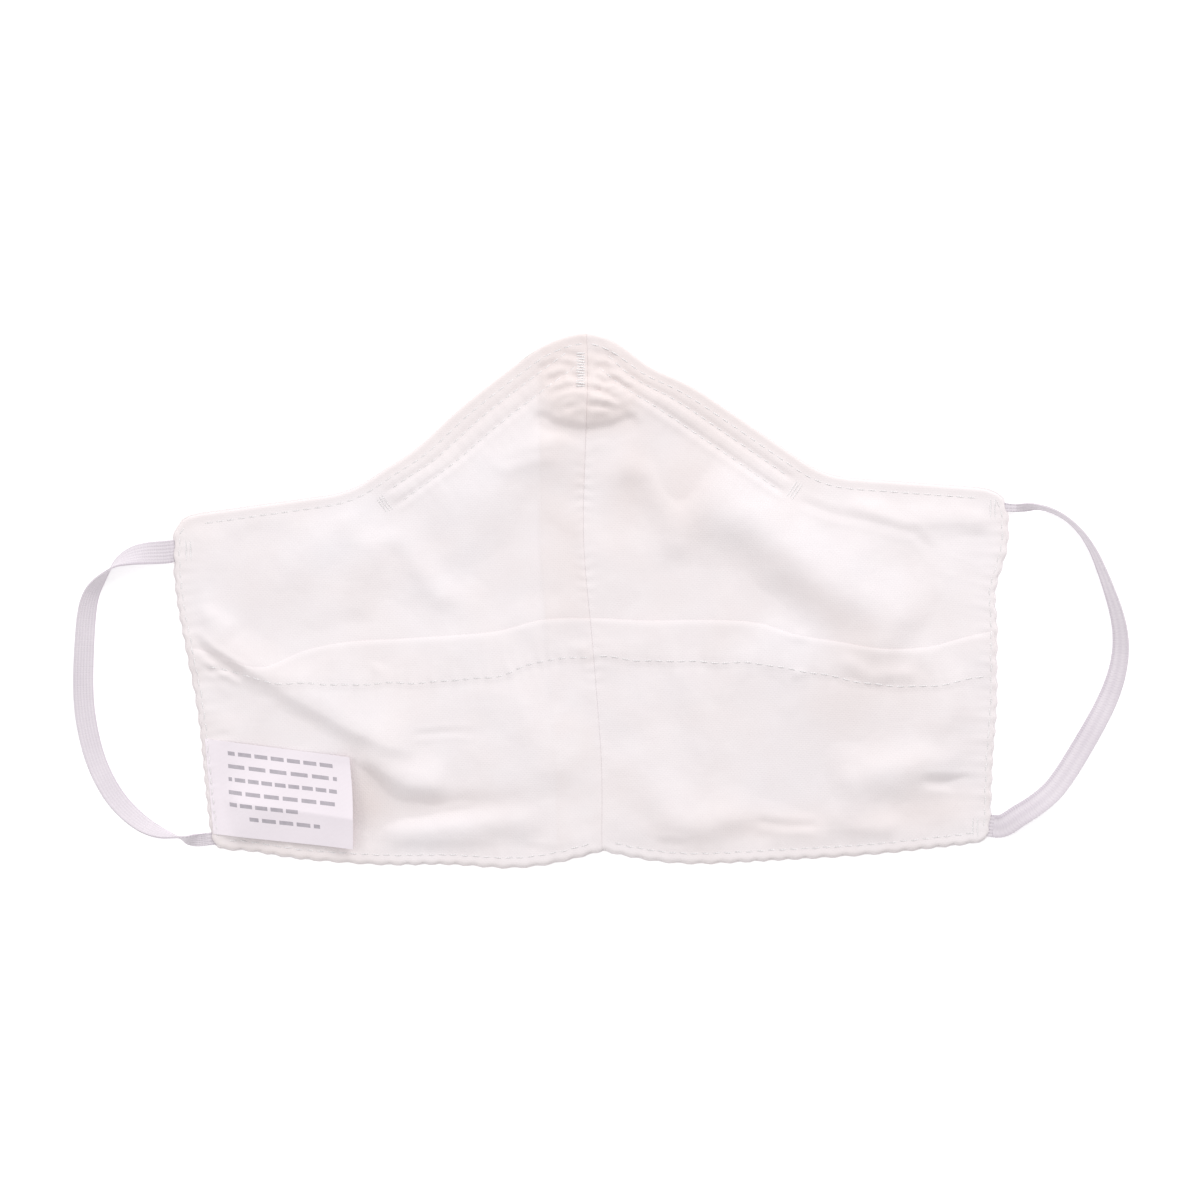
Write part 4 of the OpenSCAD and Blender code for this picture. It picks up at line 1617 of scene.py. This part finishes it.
def bump(tree, height, strength, distance, shader, normal=None):
    """Relief on a shader, with its depth in millimetres."""
    node = tree.nodes.new("ShaderNodeBump")
    set_inputs(node, {"Strength": strength, "Distance": distance * MM})
    tree.links.new(height, node.inputs["Height"])
    if normal is not None:
        tree.links.new(normal, node.inputs["Normal"])
    tree.links.new(node.outputs[0], shader.inputs["Normal"])
    return node.outputs[0]


def cotton(name, cloth, warm, cool, threads=2000, under=False, depth=0.05):
    """Woven cotton with its weave, mottling and soft sheen; threads counts them in a metre."""
    material, tree, shader = new_material(name)
    flat = uv_node(tree)
    weave = tree.nodes.new("ShaderNodeGroup")
    weave.node_tree = WEAVE
    weave.inputs["Threads"].default_value = threads
    tree.links.new(flat, weave.inputs["Flat"])
    tone = tree.nodes.new("ShaderNodeGroup")
    tone.node_tree = TONE
    tree.links.new(flat, tone.inputs["Place"])
    set_inputs(tone, {"Cloth": (*cloth, 1), "Warm": (*warm, 1), "Cool": (*cool, 1)})
    tree.links.new(weave.outputs["Yarn"], tone.inputs["Yarn"])
    if under:
        # the lining's mask holds the layers below and the painted shade
        mask = tree.nodes.new("ShaderNodeAttribute")
        mask.attribute_name = "under"
        tree.links.new(mask.outputs["Fac"], tone.inputs["Layers And Shade"])
    colour_and_roughness(tree, shader, tone.outputs["Colour"], tone.outputs["Roughness"])
    crumple = noise_node(tree, flat, 330, 4, 0.6)
    normal = bump(tree, crumple, 0.6, 0.10, shader)
    bump(tree, weave.outputs["Height"], 0.5, depth, shader, normal)
    set_inputs(shader, {"Sheen Weight": 0.08, "Sheen Roughness": 0.5, "Specular IOR Level": 0.25})
    return material


# The elastic's cords across it, and its courses and braid along it
CORD_PITCH = 0.9
COURSE_PITCH = 0.55
BRAID_PITCH = 0.8


def elastic_material():
    """Knitted elastic: fine courses across the band and cords along it."""
    material, tree, shader = new_material("braided elastic")
    flat = uv_node(tree)
    axes = split(tree, flat)
    across = waves(tree, axes[0], CORD_PITCH)
    course = waves(tree, axes[1], COURSE_PITCH)
    offset = plus(tree, times(tree, axes[1], 2 * math.pi / (BRAID_PITCH * MM)), times(tree, across, 1.2))
    braid = math_node(tree, "SINE", offset)
    grain = noise_node(tree, flat, 1500, 2)
    height = scaled(tree, across, 0.5, times(tree, braid, 0.2))
    height = plus(tree, height, times(tree, plus(tree, course, grain), 0.15))
    bump(tree, height, 0.8, 0.09, shader)
    # painted shade: the looped edges are darker between their loops, one for each two rings
    turn = math_node(tree, "FRACT", times(tree, axes[0], 1 / ((BAND_W + 0.6 * BAND_T) * MM)))
    edge = math_node(tree, "ABSOLUTE", math_node(tree, "SUBTRACT", turn, 0.5))
    edge = times(tree, math_node(tree, "GREATER_THAN", edge, 0.44), 0.5)
    loops = times(tree, plus(tree, waves(tree, axes[1], 2 * RING_PITCH), 1.0), edge)
    # the band's colour: a little darker along the braid and cords, random tone from the noise, and the
    # painted shade between the edge loops
    shade = scaled(tree, braid, 0.05, 0.08)
    shade = scaled(tree, across, 0.10, shade)
    shade = plus(tree, shade, times(tree, noise_node(tree, flat, 60, 3), 0.6))
    shade = scaled(tree, loops, 0.45, shade)
    colour = mix_colour(tree, shade, (0.80, 0.745, 0.785, 1), (0.56, 0.50, 0.565, 1))
    colour_and_roughness(tree, shader, colour, scaled(tree, grain, 0.2, 0.5))
    set_inputs(shader, {"Sheen Weight": 0.1, "Specular IOR Level": 0.3})
    return material


# The thread's twist, along it and around it
PLY_PITCH = 0.6
PLY_GIRTH = 0.5


def thread_material():
    """Spun thread with its twist."""
    material, tree, shader = new_material("sewing thread")
    flat = uv_node(tree)
    axes = split(tree, flat)
    along = times(tree, axes[0], 2 * math.pi / (PLY_PITCH * MM))
    around = times(tree, axes[1], 2 * math.pi / (PLY_GIRTH * MM))
    ply = math_node(tree, "SINE", plus(tree, along, around))
    bump(tree, ply, 0.8, 0.06, shader)
    fuzz = noise_node(tree, flat, 900, 2)
    colour = mix_colour(tree, scaled(tree, ply, 0.2, 0.3), (1.0, 0.97, 0.98, 1), (0.95, 0.91, 0.92, 1))
    colour_and_roughness(tree, shader, colour, scaled(tree, fuzz, 0.25, 0.5))
    set_inputs(shader, {"Sheen Weight": 0.2})
    return material


# Ruled dashes of the label: height above its foot, start and end across it, and their pitch
RULES = [
    (22.4, 5.6, 32.0, 4.1), (18.9, 5.4, 32.8, 5.3), (15.4, 5.2, 32.6, 3.4),
    (11.9, 5.0, 32.6, 4.7), (8.6, 5.0, 22.5, 3.9), (5.2, 10.0, 28.0, 4.4),
]
RULE_HALF = 0.55
DASH_SHARE = 0.8
SATIN_RIB = 0.34


def satin_material():
    """Satin ribbon with plain ruled lines across it."""
    material, tree, shader = new_material("label satin")
    flat = uv_node(tree)
    axes = split(tree, flat)
    rib = waves(tree, axes[1], SATIN_RIB)
    floats = noise_node(tree, flat, 700, 3)
    height = scaled(tree, rib, 0.3, floats)
    bump(tree, height, 0.5, 0.05, shader)
    base = mix_colour(tree, noise_node(tree, flat, 45, 3), (0.91, 0.84, 0.89, 1), (0.86, 0.785, 0.84, 1))
    ruled = 0.0
    for height_up, first, last, dash in RULES:
        up = math_node(tree, "COMPARE", axes[1], height_up * MM, RULE_HALF * MM)
        within = math_node(tree, "COMPARE", axes[0], (first + last) / 2 * MM, (last - first) / 2 * MM)
        phase = math_node(tree, "FRACT", times(tree, axes[0], 1 / (dash * MM)))
        dashes = math_node(tree, "LESS_THAN", phase, DASH_SHARE)
        ruled = plus(tree, ruled, times(tree, times(tree, up, within), dashes))
    ink = times(tree, ruled, scaled(tree, floats, 0.3, 0.4))
    colour = mix_colour(tree, ink, base, (0.12, 0.11, 0.15, 1))
    colour_and_roughness(tree, shader, colour, scaled(tree, floats, 0.2, 0.35))
    set_inputs(shader, {"Sheen Weight": 0.15, "Anisotropic": 0.4})
    return material


def felt_material():
    material, tree, shader = new_material("interlining felt")
    flat = uv_node(tree)
    fibres = noise_node(tree, flat, 900, 6, 0.7)
    bump(tree, fibres, 0.8, 0.2, shader)
    colour = mix_colour(tree, noise_node(tree, flat, 90, 4), (0.84, 0.84, 0.81, 1), (0.74, 0.74, 0.71, 1))
    colour_and_roughness(tree, shader, colour, scaled(tree, fibres, 0.1, 0.85))
    return material


def wire_material():
    material, tree, shader = new_material("dull nose strip")
    flat = uv_node(tree)
    drawn = tree.nodes.new("ShaderNodeMapping")
    drawn.inputs["Scale"].default_value = (60, 2500, 1)
    tree.links.new(flat, drawn.inputs["Vector"])
    lines = noise_node(tree, drawn.outputs[0], 1.0, 3)
    bump(tree, lines, 0.3, 0.02, shader)
    colour = mix_colour(tree, lines, (0.78, 0.79, 0.81, 1), (0.66, 0.67, 0.7, 1))
    colour_and_roughness(tree, shader, colour, scaled(tree, lines, 0.2, 0.3))
    set_inputs(shader, {"Metallic": 1.0})
    return material


def wear(pieces, material):
    for piece in pieces:
        piece.data.materials.clear()
        piece.data.materials.append(material)


# The lining's warm colour stands for the layers below, for random blush and for painted shade given through
# its mask
LINING_COTTON = cotton(
    "lining cotton", (0.885, 0.83, 0.845), (0.80, 0.715, 0.705), (0.87, 0.83, 0.86), under=True,
)
SHELL_COTTON = cotton(
    "shell cotton", (0.87, 0.815, 0.825), (0.84, 0.755, 0.735), (0.85, 0.81, 0.84), threads=1800, depth=0.06,
)
wear(LININGS, LINING_COTTON)
wear(SHELLS + [ALLOWANCE], SHELL_COTTON)
wear(FELTS, felt_material())
wear(LOOPS + TAILS, elastic_material())
wear(THREADS, thread_material())
wear([LABEL], satin_material())
wear(WIRES, wire_material())


# ---------------------------------------------------------------- floor and light

def make_floor():
    deselect()
    bpy.ops.mesh.primitive_plane_add(size=6, location=(0, 0, 0))
    floor = bpy.context.active_object
    floor.name = "floor"
    material, _, shader = new_material("pale floor")
    set_inputs(shader, {
        "Base Color": (0.95, 0.95, 0.95, 1), "Roughness": 0.9, "Specular IOR Level": 0.0,
        "Emission Color": (1, 1, 1, 1), "Emission Strength": 0.34,
    })
    floor.data.materials.append(material)
    return floor


def area_light(name, place, size, power):
    data = bpy.data.lights.new(name, "AREA")
    data.shape = "RECTANGLE"
    data.size = size[0]
    data.size_y = size[1]
    data.energy = power
    light = bpy.data.objects.new(name, data)
    light.location = place
    light.rotation_euler = (-Vector(place)).to_track_quat("-Z", "Y").to_euler()
    bpy.context.scene.collection.objects.link(light)


def make_light():
    area_light("key_window", (0.5, 1.0, 0.75), (0.9, 0.6), 9.5)
    area_light("side_window", (-1.1, 0.1, 0.8), (0.7, 0.7), 3)
    world = bpy.data.worlds.new("soft room")
    world.use_nodes = True
    set_inputs(world.node_tree.nodes["Background"], {"Color": (1, 1, 1, 1), "Strength": 0.7})
    bpy.context.scene.world = world
    bpy.context.scene.view_settings.view_transform = "Standard"


make_floor()
make_light()
